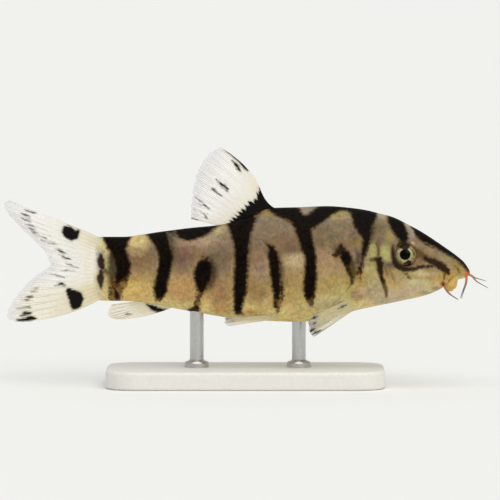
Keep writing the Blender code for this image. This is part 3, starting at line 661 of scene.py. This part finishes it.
# Dark marks of the iris, with the painted eyelid shadow among them
iris = lay_paint(tree, iris, paint("1c150b"), dark, -0.15, 0.15, 0.97)
iris = lay_paint(tree, paint("040405"), iris, radius, PUPIL - 0.05, PUPIL + 0.13)
feed(tree, shader, {"Base Color": iris, "Roughness": 0.2, "Specular IOR Level": 0.03, "Coat Weight": 0.04,
                    "Coat Roughness": 0.05})

for side, word in ((-1, "right"), (1, "left")):
    centre, outward = eye_facing(side)
    fore = np.array((1, 0, 0)) - outward[0] * outward
    fore /= np.linalg.norm(fore)
    up = np.cross(outward, fore)
    up *= np.sign(up[2])
    profile = curve_rows(EYE_PROFILE, np.linspace(0, 1, EYE_RINGS + 1))
    eye_mesh = new_mesh(turn_on_lathe(profile, EYE_STEPS), "eye_ball_" + word)
    local = read_points(eye_mesh)
    from_pupil = np.hypot(local[:, 0] - PUPIL_AT[0], local[:, 1] - PUPIL_AT[1])
    write_value(eye_mesh, "from_pupil", np.where(local[:, 2] < 0, EYE_BACK, 0) + from_pupil)
    write_value(eye_mesh, "dark", deepest(IRIS_SHADES.values(), local[:, 0], local[:, 1]))
    write_points(eye_mesh, local @ np.array((fore, up, outward)) + centre)
    close_up(eye_mesh, 1e-6)
    add_piece("eye_ball_" + word, eye_mesh, eye_material, "eye", "eye_" + word)


# The fins
# Each fin is a thin clear membrane on bony rays that split towards the edge.
# The membrane is cast in one sheet; the rays are laid in it and marked black in places.
DORSAL_BASE_X = (6, -5)
DORSAL_SLANT = 0.82
DORSAL_MARGIN = ((-5.3, 51.4), (-7.7, 50.1), (-9.9, 46.8), (-11, 43.5), (-11.5, 40.3), (-11.7, 37.6),
    (-11.7, 36))
ANAL_BASE_X = (-15.2, -21.6)
ANAL_MARGIN = ((-26.4, 14.3), (-28.4, 14.4), (-29.7, 15.3), (-29, 17.6))
TAIL_ROOT_X = -31.2
TAIL_ROOT_INSET = 0.3
TAIL_ROOT_BULGE = 0.9
TAIL_MARGIN = (
    (-50.9, 40.1), (-52, 39.2), (-51.3, 37.4), (-49.7, 35.5), (-47.9, 33.6), (-45.7, 31.5), (-43.5, 29.2),
    (-42.4, 27.1), (-42.3, 25.7), (-44.3, 24.4), (-46.5, 22.6), (-48.6, 20.3), (-50.3, 17.9), (-51.3, 15.7),
    (-51, 14.4), (-49.6, 13.8),
)
BREAST_BASE = ((23.9, 154), (21.4, 131))
BREAST_MARGIN = ((14.6, -9.2, 11.1), (13.7, -10.3, 12.6), (13.6, -10.8, 14.2), (14.3, -10.6, 15.6))
PELVIC_BASE = ((6.6, 158), (4.2, 148))
PELVIC_MARGIN = ((-3.6, -6.1, 13.3), (-4.5, -5.7, 13.9), (-4.2, -5.2, 14.5), (-3.2, -4.8, 14.8))
SUNK_ROOT = 0.5
FLARE = 1.3
FIN_EDGE = 0.05
SCALLOP = 0.005
RAY_SIDES = 6
RAY_STEPS = 26
RAY_END = 0.985
OUTER_RAY = 0.5
INNER_RAY = 0.36
RAY_LEAST = 0.04
RAY_PROUD = 0.02
RAY_TIP = 0.0005
# Where rays fork and where their branches fork again, as shares outwards, and how far they part
FORK = (0.32, 0.2)
TWIG = (0.62, 0.22)
FIN_CLOUD = 1.2

FIN_MARKS = {
    "dorsal": (
        ((-5, 51.6, 0.3), (-1.65, 48.9, 0.5), (-0.6, 47.8, 0.55), (0.45, 46.5, 0.3)),
        ((-2.85, 48.5, 0.22), (-2.15, 47.75, 0.4), (-1.45, 46.95, 0.42), (-0.95, 46.3, 0.2)),
        ((-6.4, 44.5, 0.15), (-4.6, 43.2, 0.5), (-3.9, 42.4, 0.38)),
        ((-7.2, 42.55, 0.12), (-6.3, 41.85, 0.3), (-5.2, 41, 0.16)),
        ((-10.8, 40.7, 0.02), (-8.7, 38.9, 0.24), (-7.9, 38.2, 0.15)),
        ((-9.9, 37.8, 0.05), (-9, 37.1, 0.18), (-8.4, 36.4, 0.22), (-8.2, 36, 0.1)),
        ((-11.7, 36.1, 0.15), (-11, 35.8, 0.22), (-10.1, 35.5, 0.1)),
        ((-10.4, 39.5, -0.1), (-9.4, 38.8, -0.05)),
        ((-11.3, 38.4, -0.1), (-10.2, 37.6, -0.05)),
    ),
    "tail": (
        ((-38.6, 33.55, 1.08), (-38.05, 33.1, 1.4), (-37.35, 32.55, 1.36), (-36.9, 32.4, 1.05),
         (-36.05, 33.35, 0.48)),
        ((-38.15, 20.5, 0.7), (-37.15, 19.5, 1.35), (-36.45, 19, 1.6), (-36.55, 18.1, 1.52),
         (-36.8, 17.5, 1.12)),
        ((-47.5, 37.9, 0.12), (-46.7, 37.6, 0.26), (-45.8, 37.35, 0.22), (-44.6, 37.35, 0.04)),
        ((-48.4, 37.2, 0.1), (-47.4, 36.8, 0.3), (-46.4, 36.35, 0.15)),
        ((-48.4, 36.3, 0.05), (-47.1, 35.8, 0.2), (-46.2, 35.4, 0.1)),
        ((-47.3, 34.8, 0.1), (-46.4, 34.6, 0.22), (-45.6, 34.4, 0.1)),
        ((-46.9, 34.1, 0), (-46, 33.8, 0.15), (-45.1, 33.7, 0)),
        ((-46.2, 33.3, 0.05), (-45.4, 33, 0.22), (-44.4, 32.7, 0.05)),
        ((-44.7, 32.4, 0), (-43.9, 32.2, 0.08), (-43, 31.8, 0)),
        ((-44.1, 31.5, 0), (-42.3, 30.9, 0.16), (-41.5, 30.7, 0.2), (-40.5, 30.4, 0.05)),
        ((-41.6, 29.6, 0), (-40.4, 29.2, 0.25), (-39.3, 28.85, 0.27), (-38.3, 28.5, 0.05)),
        ((-40.2, 28.2, 0.1), (-39.2, 27.75, 0.28), (-38.4, 27.45, 0.25), (-37.5, 27.2, 0.05)),
        ((-38.9, 26.5, 0), (-37.8, 26.15, 0.16), (-36.9, 25.8, 0.16), (-36.2, 25.5, 0)),
        ((-39.8, 25, 0), (-38.3, 25, 0.12), (-36.5, 24.8, 0)),
        ((-42.1, 24.2, 0), (-40, 23.6, 0.18), (-39, 23.3, 0.05)),
        ((-41.1, 21.75, 0.1), (-39.6, 22, 0.45), (-39, 21.6, 0.3)),
        ((-46, 21, 0), (-45.1, 21.1, 0.2), (-44.5, 21, 0.05)),
        ((-46.5, 20.3, 0), (-45.6, 20.3, 0.16), (-44.7, 20.3, 0)),
        ((-47.6, 19.1, 0), (-46.8, 19.2, 0.12), (-45.8, 19.2, 0.1)),
        ((-48.4, 18.4, 0), (-47.1, 18.5, 0.12), (-45.8, 18.5, 0)),
        ((-49.4, 16.6, 0.05), (-48, 16.8, 0.25), (-46.4, 17, 0.2)),
        ((-48.6, 15.1, 0.15), (-47.5, 15.5, 0.5), (-46.4, 15.7, 0.42)),
        ((-49.2, 14.15, 0.3), (-48.2, 14.2, 0.45), (-46.9, 14.45, 0.6), (-46, 14.6, 0.55),
         (-45.3, 14.5, 0.3)),
    ),
    "anal": (
        ((-21.3, 17.6, 0.25), (-20.3, 16.9, 0.6), (-19, 16.4, 0.65), (-17.8, 16.3, 0.45),
         (-16.9, 16.5, 0.15)),
        ((-25.9, 15.5, 0.05), (-25.2, 15.5, 0.25), (-24.6, 15.5, 0.05)),
    ),
    "pectoral": (
        ((19.9, 17.1, 0.1), (20.8, 17.5, 0.32), (21.8, 17.9, 0.1)),
        ((13.9, 15, 0.1), (14.8, 15.4, 0.34), (15.6, 15.8, 0.1)),
        ((14.1, 13.9, 0.05), (14.7, 14.2, 0.26), (15.1, 14.4, 0.05)),
        ((13.7, 12.2, 0.15), (14.2, 12.7, 0.42), (14.9, 13.1, 0.15)),
        ((14.2, 11.7, 0.15), (15.1, 12.1, 0.36), (16.1, 12.5, 0.15)),
        ((16.3, 12.4, 0.05), (19.7, 14.2, 0.02)),
    ),
    "pelvic": (
        ((-3.4, 14.3, 0), (-2.6, 14.3, 0.1)),
    ),
}
DORSAL_ROOT_MARK = ((-4.2, 34, 0.3), (-3.24, 34.3, 0.65), (-2.24, 35, 1.1), (-1.27, 35.7, 1.35),
    (0, 36.5, 1.6), (1.2, 37.5, 1.75), (2.2, 38.5, 1.6), (3, 39.6, 1.2), (3.25, 41.2, 0.65),
    (3.1, 42.3, 0.2))
DORSAL_FRONT_MARK = ((3.2, 41.6, 0.6), (3.5, 40.6, 1.1), (3.6, 39.5, 1.4), (3.5, 38.5, 1.4), (4.7, 39, 1.2),
    (5.8, 38.6, 1.1), (7.2, 38.4, 0.8))
TOOTH = 0.38
CREAM = {"dorsal": 0.1, "tail": 0.12, "anal": 1, "pectoral": 0, "pelvic": 0}


def blade_places(base, margin, bows, flare=False):
    """The middle sheet of a fin: a function of the share along it and the share outwards.

    The bows curve its front and rear edges; a flare draws the foot of its front edge out on the back.
    """
    def place(u, v):
        start = base(u)
        end = curve_rows(margin, u)
        lead, rear = (np.array(bow, float) for bow in bows)
        bow = lead * (1 - u[..., None]) ** 2 + rear * u[..., None] ** 2
        bow *= (4 * v * (1 - v) * (ease(0.05, 0.5, v) if flare else 1))[..., None]
        if flare:
            bow[..., 0] += FLARE * (1 - u) ** 8 * np.exp(-v / 0.05)
        return start + (end - start) * v[..., None] + bow
    return place


def tube_mesh(name, paths, radii, sides):
    """Many closed round strands in one mesh, each along its own row of points."""
    bm = bmesh.new()
    steps = paths.shape[1]
    for k in range(len(paths)):
        lift = Matrix.Translation((0, 0, 2.0 * k))
        bmesh.ops.create_grid(bm, x_segments=steps - 1, y_segments=sides, size=0.5, matrix=lift)
    mesh = new_mesh(bm, name)
    flat_points = read_points(mesh)
    step = np.rint((flat_points[:, 0] + 0.5) * (steps - 1)).astype(int)
    turn = (flat_points[:, 1] + 0.5) * 2 * math.pi
    strand = np.rint(flat_points[:, 2] / 2).astype(int)
    forward = np.gradient(paths, axis=1)
    forward /= np.linalg.norm(forward, axis=-1, keepdims=True)
    across = np.cross(forward, (0.013, 1, 0.021))
    across /= np.linalg.norm(across, axis=-1, keepdims=True)
    other = np.cross(forward, across)
    radius = radii[strand, step][:, None]
    ring = across[strand, step] * np.cos(turn)[:, None] + other[strand, step] * np.sin(turn)[:, None]
    return mesh, paths[strand, step] + ring * radius, step / (steps - 1)


def root_teeth(points, along):
    """Depth inside the black root of the dorsal fin, with a tooth between each two rays."""
    uneven = 0.2 * np.sin(along * 14.5) + 0.15 * np.sin(along * 2.3 + 1)
    teeth = TOOTH * np.cos(2 * math.pi * along) + uneven
    back = stroke_depth(DORSAL_ROOT_MARK, points[:, 0], points[:, 2]) + teeth
    return np.maximum(back, stroke_depth(DORSAL_FRONT_MARK, points[:, 0], points[:, 2]))


def creaminess(word, points, outwards):
    """How much cream tints a fin: most at its root, the dorsal's front edge and the tail's lower lobe."""
    x, z = points[:, 0], points[:, 2]
    cream = np.full(len(points), CREAM[word], float)
    if word == "tail":
        edges = ease(29, 31, z) + ease(23, 20.5, z)
        lobe = ease(24, 18.5, z) * ease(1.05, 0.75, outwards)
        cream += 0.8 * lobe + 0.55 * ease(-39, -33, x) * edges
    if word == "dorsal":
        tip_x, tip_z = DORSAL_MARGIN[0]
        behind = tip_x + (tip_z - z) * DORSAL_SLANT - x
        cream += 0.3 * ease(0.5, 0.1, outwards) + 0.45 * ease(1.8, -0.7, behind)
    return np.clip(cream, 0, 1)


def add_fin_part(name, word, mesh, points, along, outwards, cream, thinner, apart, material, nodes=()):
    """Stores what the fin materials read from a part of a fin, and adds it as a piece.

    Cream scales its tint, and thinner is how much less far the black root reaches on it, in mm.
    """
    write_points(mesh, points)
    write_value(mesh, "outwards", outwards)
    write_value(mesh, "along", along)
    write_value(mesh, "cream", cream * creaminess(word, points, outwards))
    inside = deepest(FIN_MARKS[word], points[:, 0], points[:, 2])
    if word == "dorsal":
        inside = np.maximum(inside, root_teeth(points, along) - thinner)
    write_value(mesh, "black", inside)
    close_up(mesh, apart)
    add_piece(name, mesh, material, "fin", *nodes)


def make_fin(name, word, place, across, rays, root_radius, wave, columns, rows, materials):
    """One fin as two pieces, its membrane and its rays, which fork twice on their way out."""
    def ripple(u, v):
        """How far the fin waves to its side."""
        return wave * v * np.sin(u * rays * 0.9 + 2.2 * v)

    bm = bmesh.new()
    bmesh.ops.create_grid(bm, x_segments=columns, y_segments=rows, size=0.5)
    raised = bmesh.ops.extrude_face_region(bm, geom=bm.faces[:])["geom"]
    for vert in raised:
        if isinstance(vert, bmesh.types.BMVert):
            vert.co.z = 1.0
    mesh = new_mesh(bm, name + "_membrane")
    grid = read_points(mesh)
    u, v = grid[:, 0] + 0.5, grid[:, 1] + 0.5
    points = place(u, v * (1 + SCALLOP * np.cos(u * rays * 2 * math.pi) * ease(0.9, 1, v)))
    half = FIN_EDGE + (root_radius - FIN_EDGE) * (1 - v) ** 3
    points += (ripple(u, v) + np.where(grid[:, 2] > 0.5, half, -half))[:, None] * across
    add_fin_part(name + "_membrane", word, mesh, points, u * rays, v, cream=1, thinner=0, apart=1e-7,
                 material=materials[0], nodes=(name,))

    strands, radii, ray_places = [], [], []
    v = np.linspace(0, 1, RAY_STEPS)
    for k in range(rays):
        outer = k < 2 or (word == "tail" and k > rays - 3)
        thick = root_radius * (OUTER_RAY if outer else INNER_RAY)
        taper = np.maximum(thick * (1 - v) ** 1.1, RAY_LEAST) + RAY_PROUD
        taper[0] = taper[-1] = RAY_TIP
        for split in (0,) if outer else (-1.5, -0.5, 0.5, 1.5):
            fork = np.sign(split) * FORK[1] * ease(FORK[0], 1, v)
            twig = (split - np.sign(split)) * TWIG[1] * ease(TWIG[0], 1, v)
            u = (k + 0.5) / rays + (fork + twig) / rays
            strands.append(place(u, v * RAY_END) + ripple(u, v)[:, None] * across)
            radii.append(taper)
            ray_places.append((k + 0.5) / rays)
    mesh, points, outwards = tube_mesh(name + "_rays", np.array(strands), np.array(radii), RAY_SIDES)
    along = np.repeat(ray_places, len(outwards) // len(ray_places)) * rays
    add_fin_part(name + "_rays", word, mesh, points, along, outwards, cream=0.6, thinner=0.1, apart=2e-6,
                 material=materials[1])


def fin_material(name, root_paint, edge_paint, root_alpha, edge_alpha, striped):
    """Clear fin skin, or the rays in it: milky, tinted at the root, black where it is marked."""
    made, tree, shader = new_material(name)
    outwards = node(tree, "Attribute", attribute_name="outwards", out="Fac")
    along = node(tree, "Attribute", attribute_name="along", out="Fac")
    place = node(tree, "TexCoord", out="Object")
    cloud = node(tree, "TexNoise", {"Vector": place, "Scale": 1000 / FIN_CLOUD, "Detail": 4})
    # Streaks along the rays, which fray the black marks
    strip = node(tree, "CombineXYZ", {0: along, 1: outwards})
    strip = node(tree, "VectorMath", {0: strip, 1: (3.2, 9, 0)}, operation="MULTIPLY")
    smear = node(tree, "TexNoise", {"Vector": strip, "Scale": 1, "Detail": 3, "Roughness": 0.6})
    reach = node(tree, "Math", {0: cloud, 1: 0.3, 2: outwards}, operation="MULTIPLY_ADD")
    cream = node(tree, "Attribute", out="Fac", attribute_name="cream")
    colour = lay_paint(tree, paint(root_paint), paint(edge_paint), reach, 0.12, 0.5)
    colour = lay_paint(tree, colour, paint("c8c5cd"), reach, 0.85, 1.15, 0.7)
    colour = lay_paint(tree, colour, paint("ece1bc"), cream, 0, 1)
    alpha = node(tree, "MapRange", {0: reach, 1: 0.1, 2: 0.8, 3: root_alpha, 4: edge_alpha})
    if striped:
        # Fine folds, and duller skin between the rays
        wave = node(tree, "Math", {0: along, 1: 8 * math.pi}, operation="MULTIPLY")
        wave = node(tree, "Math", {0: wave}, operation="SINE")
        alpha = node(tree, "Math", {0: wave, 1: 0.05, 2: alpha}, operation="MULTIPLY_ADD")
        gap = node(tree, "Math", {0: along, 1: 2 * math.pi}, operation="MULTIPLY")
        gap = node(tree, "Math", {0: gap}, operation="COSINE")
        fade = node(tree, "MapRange", {0: reach, 1: 0.2, 2: 0.9, 3: 0.25, 4: 0})
        gap = node(tree, "Math", {0: gap, 1: fade}, operation="MULTIPLY", use_clamp=True)
        colour = node(tree, "Mix", {0: gap, 6: colour, 7: paint("aaa498")}, data_type="RGBA", out=2)
    depth = node(tree, "Attribute", attribute_name="black", out="Fac")
    depth = node(tree, "Math", {0: smear, 1: 1.3, 2: depth}, operation="MULTIPLY_ADD")
    colour = lay_paint(tree, colour, paint("0c0906"), depth, 0.48, 0.95)
    black = node(tree, "MapRange", {0: depth, 1: 0.48, 2: 0.95})
    alpha = node(tree, "Mix", {0: black, 2: alpha, 3: 1})
    # A faint glow stands for the light that passes through the fin from its far side
    glow = node(tree, "MapRange", {0: reach, 1: 0.15, 2: 0.7, 3: 0.07, 4: 0.015})
    feed(tree, shader, {"Base Color": colour, "Alpha": alpha, "Emission Color": colour,
                        "Emission Strength": glow, "Roughness": 0.45, "Specular IOR Level": 0.1})
    return made


# Fin membrane: clear, milky skin that takes a cream tint where it leaves the body
# Fin rays: segmented bone, ivory where thick and grey-white towards the edge
clear_fin = (fin_material("clear_fin_membrane", "fffaec", "fdf8f2", 0.7, 0.26, True),
             fin_material("ivory_fin_rays", "fff9e8", "f8f3ea", 0.7, 0.3, False))
yellow_fin = (fin_material("yellowish_fin_membrane", "d8cc9a", "e0d6b2", 0.5, 0.35, True),
              fin_material("straw_fin_rays", "d4c78e", "e2d6ae", 0.8, 0.5, False))
SIDEWAYS = np.array((0, 1, 0))


def flat_rows(points):
    """Points of the fish's middle plane, as rows of x, y, z."""
    return [(x, 0, z) for x, z in points]


def line_base(base_x, outline, sink):
    """The base of a fin that runs along the back or the belly, sunk a little in the skin."""
    def base(u):
        x = base_x[0] + (base_x[1] - base_x[0]) * u
        return np.stack((x, np.zeros_like(x), soft_line(outline, x) + sink), -1)
    return base


def tail_base(u):
    """The base of the tail fin, where it leaves the stalk."""
    top, foot = soft_line(BACK_LINE, TAIL_ROOT_X), soft_line(BELLY_LINE, TAIL_ROOT_X)
    z = top - TAIL_ROOT_INSET + (foot - top + 2 * TAIL_ROOT_INSET) * u
    return np.stack((TAIL_ROOT_X - TAIL_ROOT_BULGE * np.sin(math.pi * u), np.zeros_like(u), z), -1)


make_fin("dorsal_fin", "dorsal",
         blade_places(line_base(DORSAL_BASE_X, BACK_LINE, -SUNK_ROOT), flat_rows(DORSAL_MARGIN),
                      ((1.15, 0, 1), (0, 0, 0)), flare=True),
         SIDEWAYS, rays=12, root_radius=0.42, wave=0.12, columns=120, rows=60, materials=clear_fin)
make_fin("anal_fin", "anal",
         blade_places(line_base(ANAL_BASE_X, BELLY_LINE, SUNK_ROOT), flat_rows(ANAL_MARGIN),
                      ((0.2, 0, -0.5), (0, 0, 0))),
         SIDEWAYS, rays=8, root_radius=0.36, wave=0.1, columns=80, rows=40, materials=clear_fin)
make_fin("caudal_fin", "tail",
         blade_places(tail_base, flat_rows(TAIL_MARGIN), ((0, 0, 0.3), (0, 0, -1.35))),
         SIDEWAYS, rays=19, root_radius=0.5, wave=0.1, columns=170, rows=64, materials=clear_fin)

for word, base_places, margin, rays in (("pectoral", BREAST_BASE, BREAST_MARGIN, 11),
                                        ("pelvic", PELVIC_BASE, PELVIC_MARGIN, 8)):
    for side, hand in ((1, "right"), (-1, "left")):
        turn = np.array((1, side, 1))
        stations = np.array([x for x, degrees in base_places])
        angles = np.radians([degrees for x, degrees in base_places])
        roots = body_surface(stations, angles) * turn
        edge = np.array(margin) * turn

        def paired_base(u, roots=roots, edge=edge):
            """The short base of a paired fin, its roots just inside the skin."""
            inward = (edge.mean(0) - roots.mean(0)) * -0.05
            return roots[0] + (roots[1] - roots[0]) * u[..., None] + inward

        across = np.cross(roots[1] - roots[0], edge[1] - roots[0])
        across /= np.linalg.norm(across)
        make_fin(word + "_fin_" + hand, word, blade_places(paired_base, edge, ((0, 0, 0), (0, 0, 0))),
                 across, rays, root_radius=0.3, wave=0.08, columns=70, rows=50, materials=yellow_fin)


# The barbels
# Four pairs of fleshy feelers: two on the snout tip, one at the mouth's corner, one on the chin.
# They are orange at the root, where blood shows, and grey-brown at the tip.
BARBELS = {
    "barbel_snout_front": ((47.6, -0.5, 24.2), (48.7, -0.7, 23.7), (49.8, -1.2, 22.6), (51, -1.9, 21.9),
        (52.3, -2.7, 21.2)),
    "barbel_snout_rear": ((47.6, -1, 24), (47.6, -1.8, 22.6), (47.25, -2.3, 21.4), (46.8, -2.8, 20.2),
        (46.45, -3.2, 18.95)),
    "barbel_mouth": ((42.7, -1.5, 22.1), (43.15, -2.2, 21), (43.9, -2.6, 20.05), (44.9, -3, 19.35),
        (45.85, -3.5, 18.8)),
    "barbel_chin": ((43.4, -0.6, 21.2), (43.5, -0.75, 20.8), (43.7, -0.9, 20.3), (44, -1.1, 20),
        (44.4, -1.3, 19.7)),
}
FAR_FRONT_BARBEL = ((47.6, 0.5, 24.2), (48.7, 0.7, 23.8), (49.6, 1.1, 23.2), (50.6, 1.8, 22.9),
    (52.1, 2.7, 22.4))
BARBEL_ROOT = 0.29
BARBEL_TIP = 0.06
BARBEL_STEPS = 48
BARBEL_SIDES = 12
BARBEL_ROUNDING = (0.85, 0.6, 0.01)

# Wet feeler skin: orange where blood shows at the root, clouded towards a grey-brown tip, with a gloss
FEELER_CLOUD = 0.6
barbel_material, tree, shader = new_material("feeler_skin")
share = node(tree, "Attribute", attribute_name="outwards", out="Fac")
place = node(tree, "TexCoord", out="Object")
cloud = node(tree, "TexNoise", {"Vector": place, "Scale": 1000 / FEELER_CLOUD, "Detail": 3})
reach = node(tree, "Math", {0: cloud, 1: 0.3, 2: share}, operation="MULTIPLY_ADD")
colour = lay_paint(tree, paint("c9713f"), paint("8d6a50"), reach, 0.25, 0.6)
colour = lay_paint(tree, colour, paint("80736a"), reach, 0.6, 0.95)
feed(tree, shader, {"Base Color": colour, "Roughness": 0.4, "Coat Weight": 0.2})

for word, points in BARBELS.items():
    for side, hand in ((1, "right"), (-1, "left")):
        own = FAR_FRONT_BARBEL if (word, hand) == ("barbel_snout_front", "left") else \
            [(x, y * side, z if side > 0 else z + 2 * y * VIEW_DROP) for x, y, z in points]
        share = np.linspace(0, 1, BARBEL_STEPS)
        path = curve_rows(own, share)[None]
        radius = (BARBEL_ROOT + (BARBEL_TIP - BARBEL_ROOT) * share ** 0.55)[None].copy()
        radius[0, -3:] *= BARBEL_ROUNDING
        mesh, points_mm, outwards = tube_mesh(word + "_flesh_" + hand, path, radius, BARBEL_SIDES)
        write_points(mesh, points_mm)
        write_value(mesh, "outwards", outwards)
        close_up(mesh, 5e-6)
        add_piece(word + "_flesh_" + hand, mesh, barbel_material, "barbel", word + "_" + hand)


# The stand
# A flat base of satin painted board with eased edges, and two slim steel rods with collars.
# The rods are pressed in the base and run up into the belly.
BASE_EDGE = 0.8
BASE_CORNER = 7.0
ROD_RADIUS = 1.5
ROD_SUNK = 0.5
ROD_STEPS = 48
SHARP_FROM = 35
base_low, base_high = (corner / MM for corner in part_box("stand_base"))
bm = bmesh.new()
bmesh.ops.create_cube(bm, size=1)
bmesh.ops.scale(bm, vec=base_high - base_low, verts=bm.verts)
bmesh.ops.translate(bm, vec=(base_low + base_high) / 2, verts=bm.verts)
upright = [edge for edge in bm.edges if abs(edge.verts[0].co.z - edge.verts[1].co.z) > 1]
bmesh.ops.bevel(bm, geom=upright, offset=BASE_CORNER, segments=24, profile=0.5, affect="EDGES", material=-1)
level = [edge for edge in bm.edges
         if abs(edge.verts[0].co.z - edge.verts[1].co.z) < 0.01 and len(edge.link_faces) == 2
         and abs(edge.link_faces[0].normal.z - edge.link_faces[1].normal.z) > 0.5]
bmesh.ops.bevel(bm, geom=level, offset=BASE_EDGE, segments=6, profile=0.5, affect="EDGES", material=-1)
bmesh.ops.scale(bm, vec=(MM, MM, MM), verts=bm.verts)
base_mesh = new_mesh(bm, "stand_base_board")
base_mesh.shade_smooth()
base_mesh.set_sharp_from_angle(angle=math.radians(SHARP_FROM))

# Satin paint rolled on board: its fine peel gives the warm white a soft, even sheen
PEEL = 0.7
board_material, tree, shader = new_material("satin_painted_board")
place = node(tree, "TexCoord", out="Object")
peel = node(tree, "TexNoise", {"Vector": place, "Scale": 1000 / PEEL, "Detail": 2})
colour = lay_paint(tree, paint("e4e1d9"), paint("eae8e1"), peel, 0.3, 0.7)
bump = node(tree, "Bump", {"Strength": 0.15, "Distance": 0.00004, "Height": peel})
feed(tree, shader, {"Base Color": colour, "Normal": bump, "Roughness": 0.45})
add_piece("stand_base_board", base_mesh, board_material, "stand", "stand_base")

# Brushed steel: lines along the rod draw its highlights out. They are 0.12 mm wide where real ones
# are about 0.05 mm, too fine to show.
BRUSH_LINE = 0.12
steel, tree, shader = new_material("brushed_steel")
place = node(tree, "TexCoord", out="Object")
stretch = node(tree, "Mapping", {"Vector": place, "Scale": (1, 1, 0.06)})
brush = node(tree, "TexNoise", {"Vector": stretch, "Scale": 1000 / BRUSH_LINE, "Detail": 2})
gloss = node(tree, "MapRange", {0: brush, 1: 0.3, 2: 0.7, 3: 0.22, 4: 0.4})
feed(tree, shader, {"Base Color": paint("c4c4c2"), "Metallic": 1, "Roughness": gloss})
COLLAR = ((0, 0), (2.6, 0), (2.6, 0.9), (2.35, 1.25), (1.8, 1.4), (ROD_RADIUS, 1.7))
for word in ("front", "rear"):
    low, high = (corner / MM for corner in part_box("stand_rod_" + word))
    centre_x = (low.x + high.x) / 2
    top = float(soft_line(BELLY_LINE, centre_x)) + ROD_SUNK
    bm = turn_on_lathe([(r * MM, (base_high.z + h) * MM) for r, h in COLLAR]
                       + [(ROD_RADIUS * MM, top * MM), (0, top * MM)], ROD_STEPS)
    bmesh.ops.translate(bm, vec=(centre_x * MM, 0, 0), verts=bm.verts)
    rod_mesh = new_mesh(bm, "stand_rod_steel_" + word)
    close_up(rod_mesh, 1e-6)
    rod_mesh.set_sharp_from_angle(angle=math.radians(SHARP_FROM))
    add_piece("stand_rod_steel_" + word, rod_mesh, steel, "rod", "stand_rod_" + word)


# Floor, light and camera
# A wide pale floor under a soft white studio sky, seen side-on from a little above.
# It is lit by one wide bank overhead and a weaker one in front.
FLOOR_SIZE = 40.0
bm = bmesh.new()
bmesh.ops.create_grid(bm, x_segments=1, y_segments=1, size=FLOOR_SIZE / 2)
floor_mesh = new_mesh(bm, "studio_floor")
floor = bpy.data.objects.new("studio_floor", floor_mesh)
bpy.context.scene.collection.objects.link(floor)
# Matt painted floor: pale and without gloss, so that only soft shadows show on it
floor_material, tree, shader = new_material("matt_pale_floor")
feed(tree, shader, {"Base Color": paint("f5f5f2"), "Roughness": 0.9})
floor_mesh.materials.append(floor_material)

world = bpy.data.worlds.new("white_studio")
bpy.context.scene.world = world
world.use_nodes = True
feed(world.node_tree, world.node_tree.nodes["Background"], {"Color": paint("f3f4f2"), "Strength": 0.55})


def big_light(name, direction, power, softness):
    """A wide soft light, far off, from one direction."""
    light = bpy.data.lights.new(name, "SUN")
    light.energy = power
    light.angle = math.radians(softness)
    lamp = bpy.data.objects.new(name, light)
    lamp.rotation_euler = Vector(direction).to_track_quat("Z", "Y").to_euler()
    bpy.context.scene.collection.objects.link(lamp)


big_light("overhead_bank", (0.15, -0.35, 1), 1.35, 70)
big_light("front_bank", (0.5, -1, 0.7), 0.55, 30)

LENS = 400.0
SENSOR = 36.0
VIEW_WIDTH = 107.75 * MM
VIEW_MIDDLE = Vector((0.97, 0, 29.3)) * MM
camera_data = bpy.data.cameras.new("camera")
camera_data.lens = LENS
camera_data.sensor_width = SENSOR
camera = bpy.data.objects.new("camera", camera_data)
bpy.context.scene.collection.objects.link(camera)
back = Vector((0, -math.cos(ELEVATION), math.sin(ELEVATION)))
camera.location = VIEW_MIDDLE + back * (VIEW_WIDTH * LENS / SENSOR)
camera.rotation_euler = (-back).to_track_quat("-Z", "Y").to_euler()
camera_data.clip_start = 0.01
camera_data.clip_end = 50.0
bpy.context.scene.camera = camera
bpy.context.scene.view_settings.view_transform = "Standard"
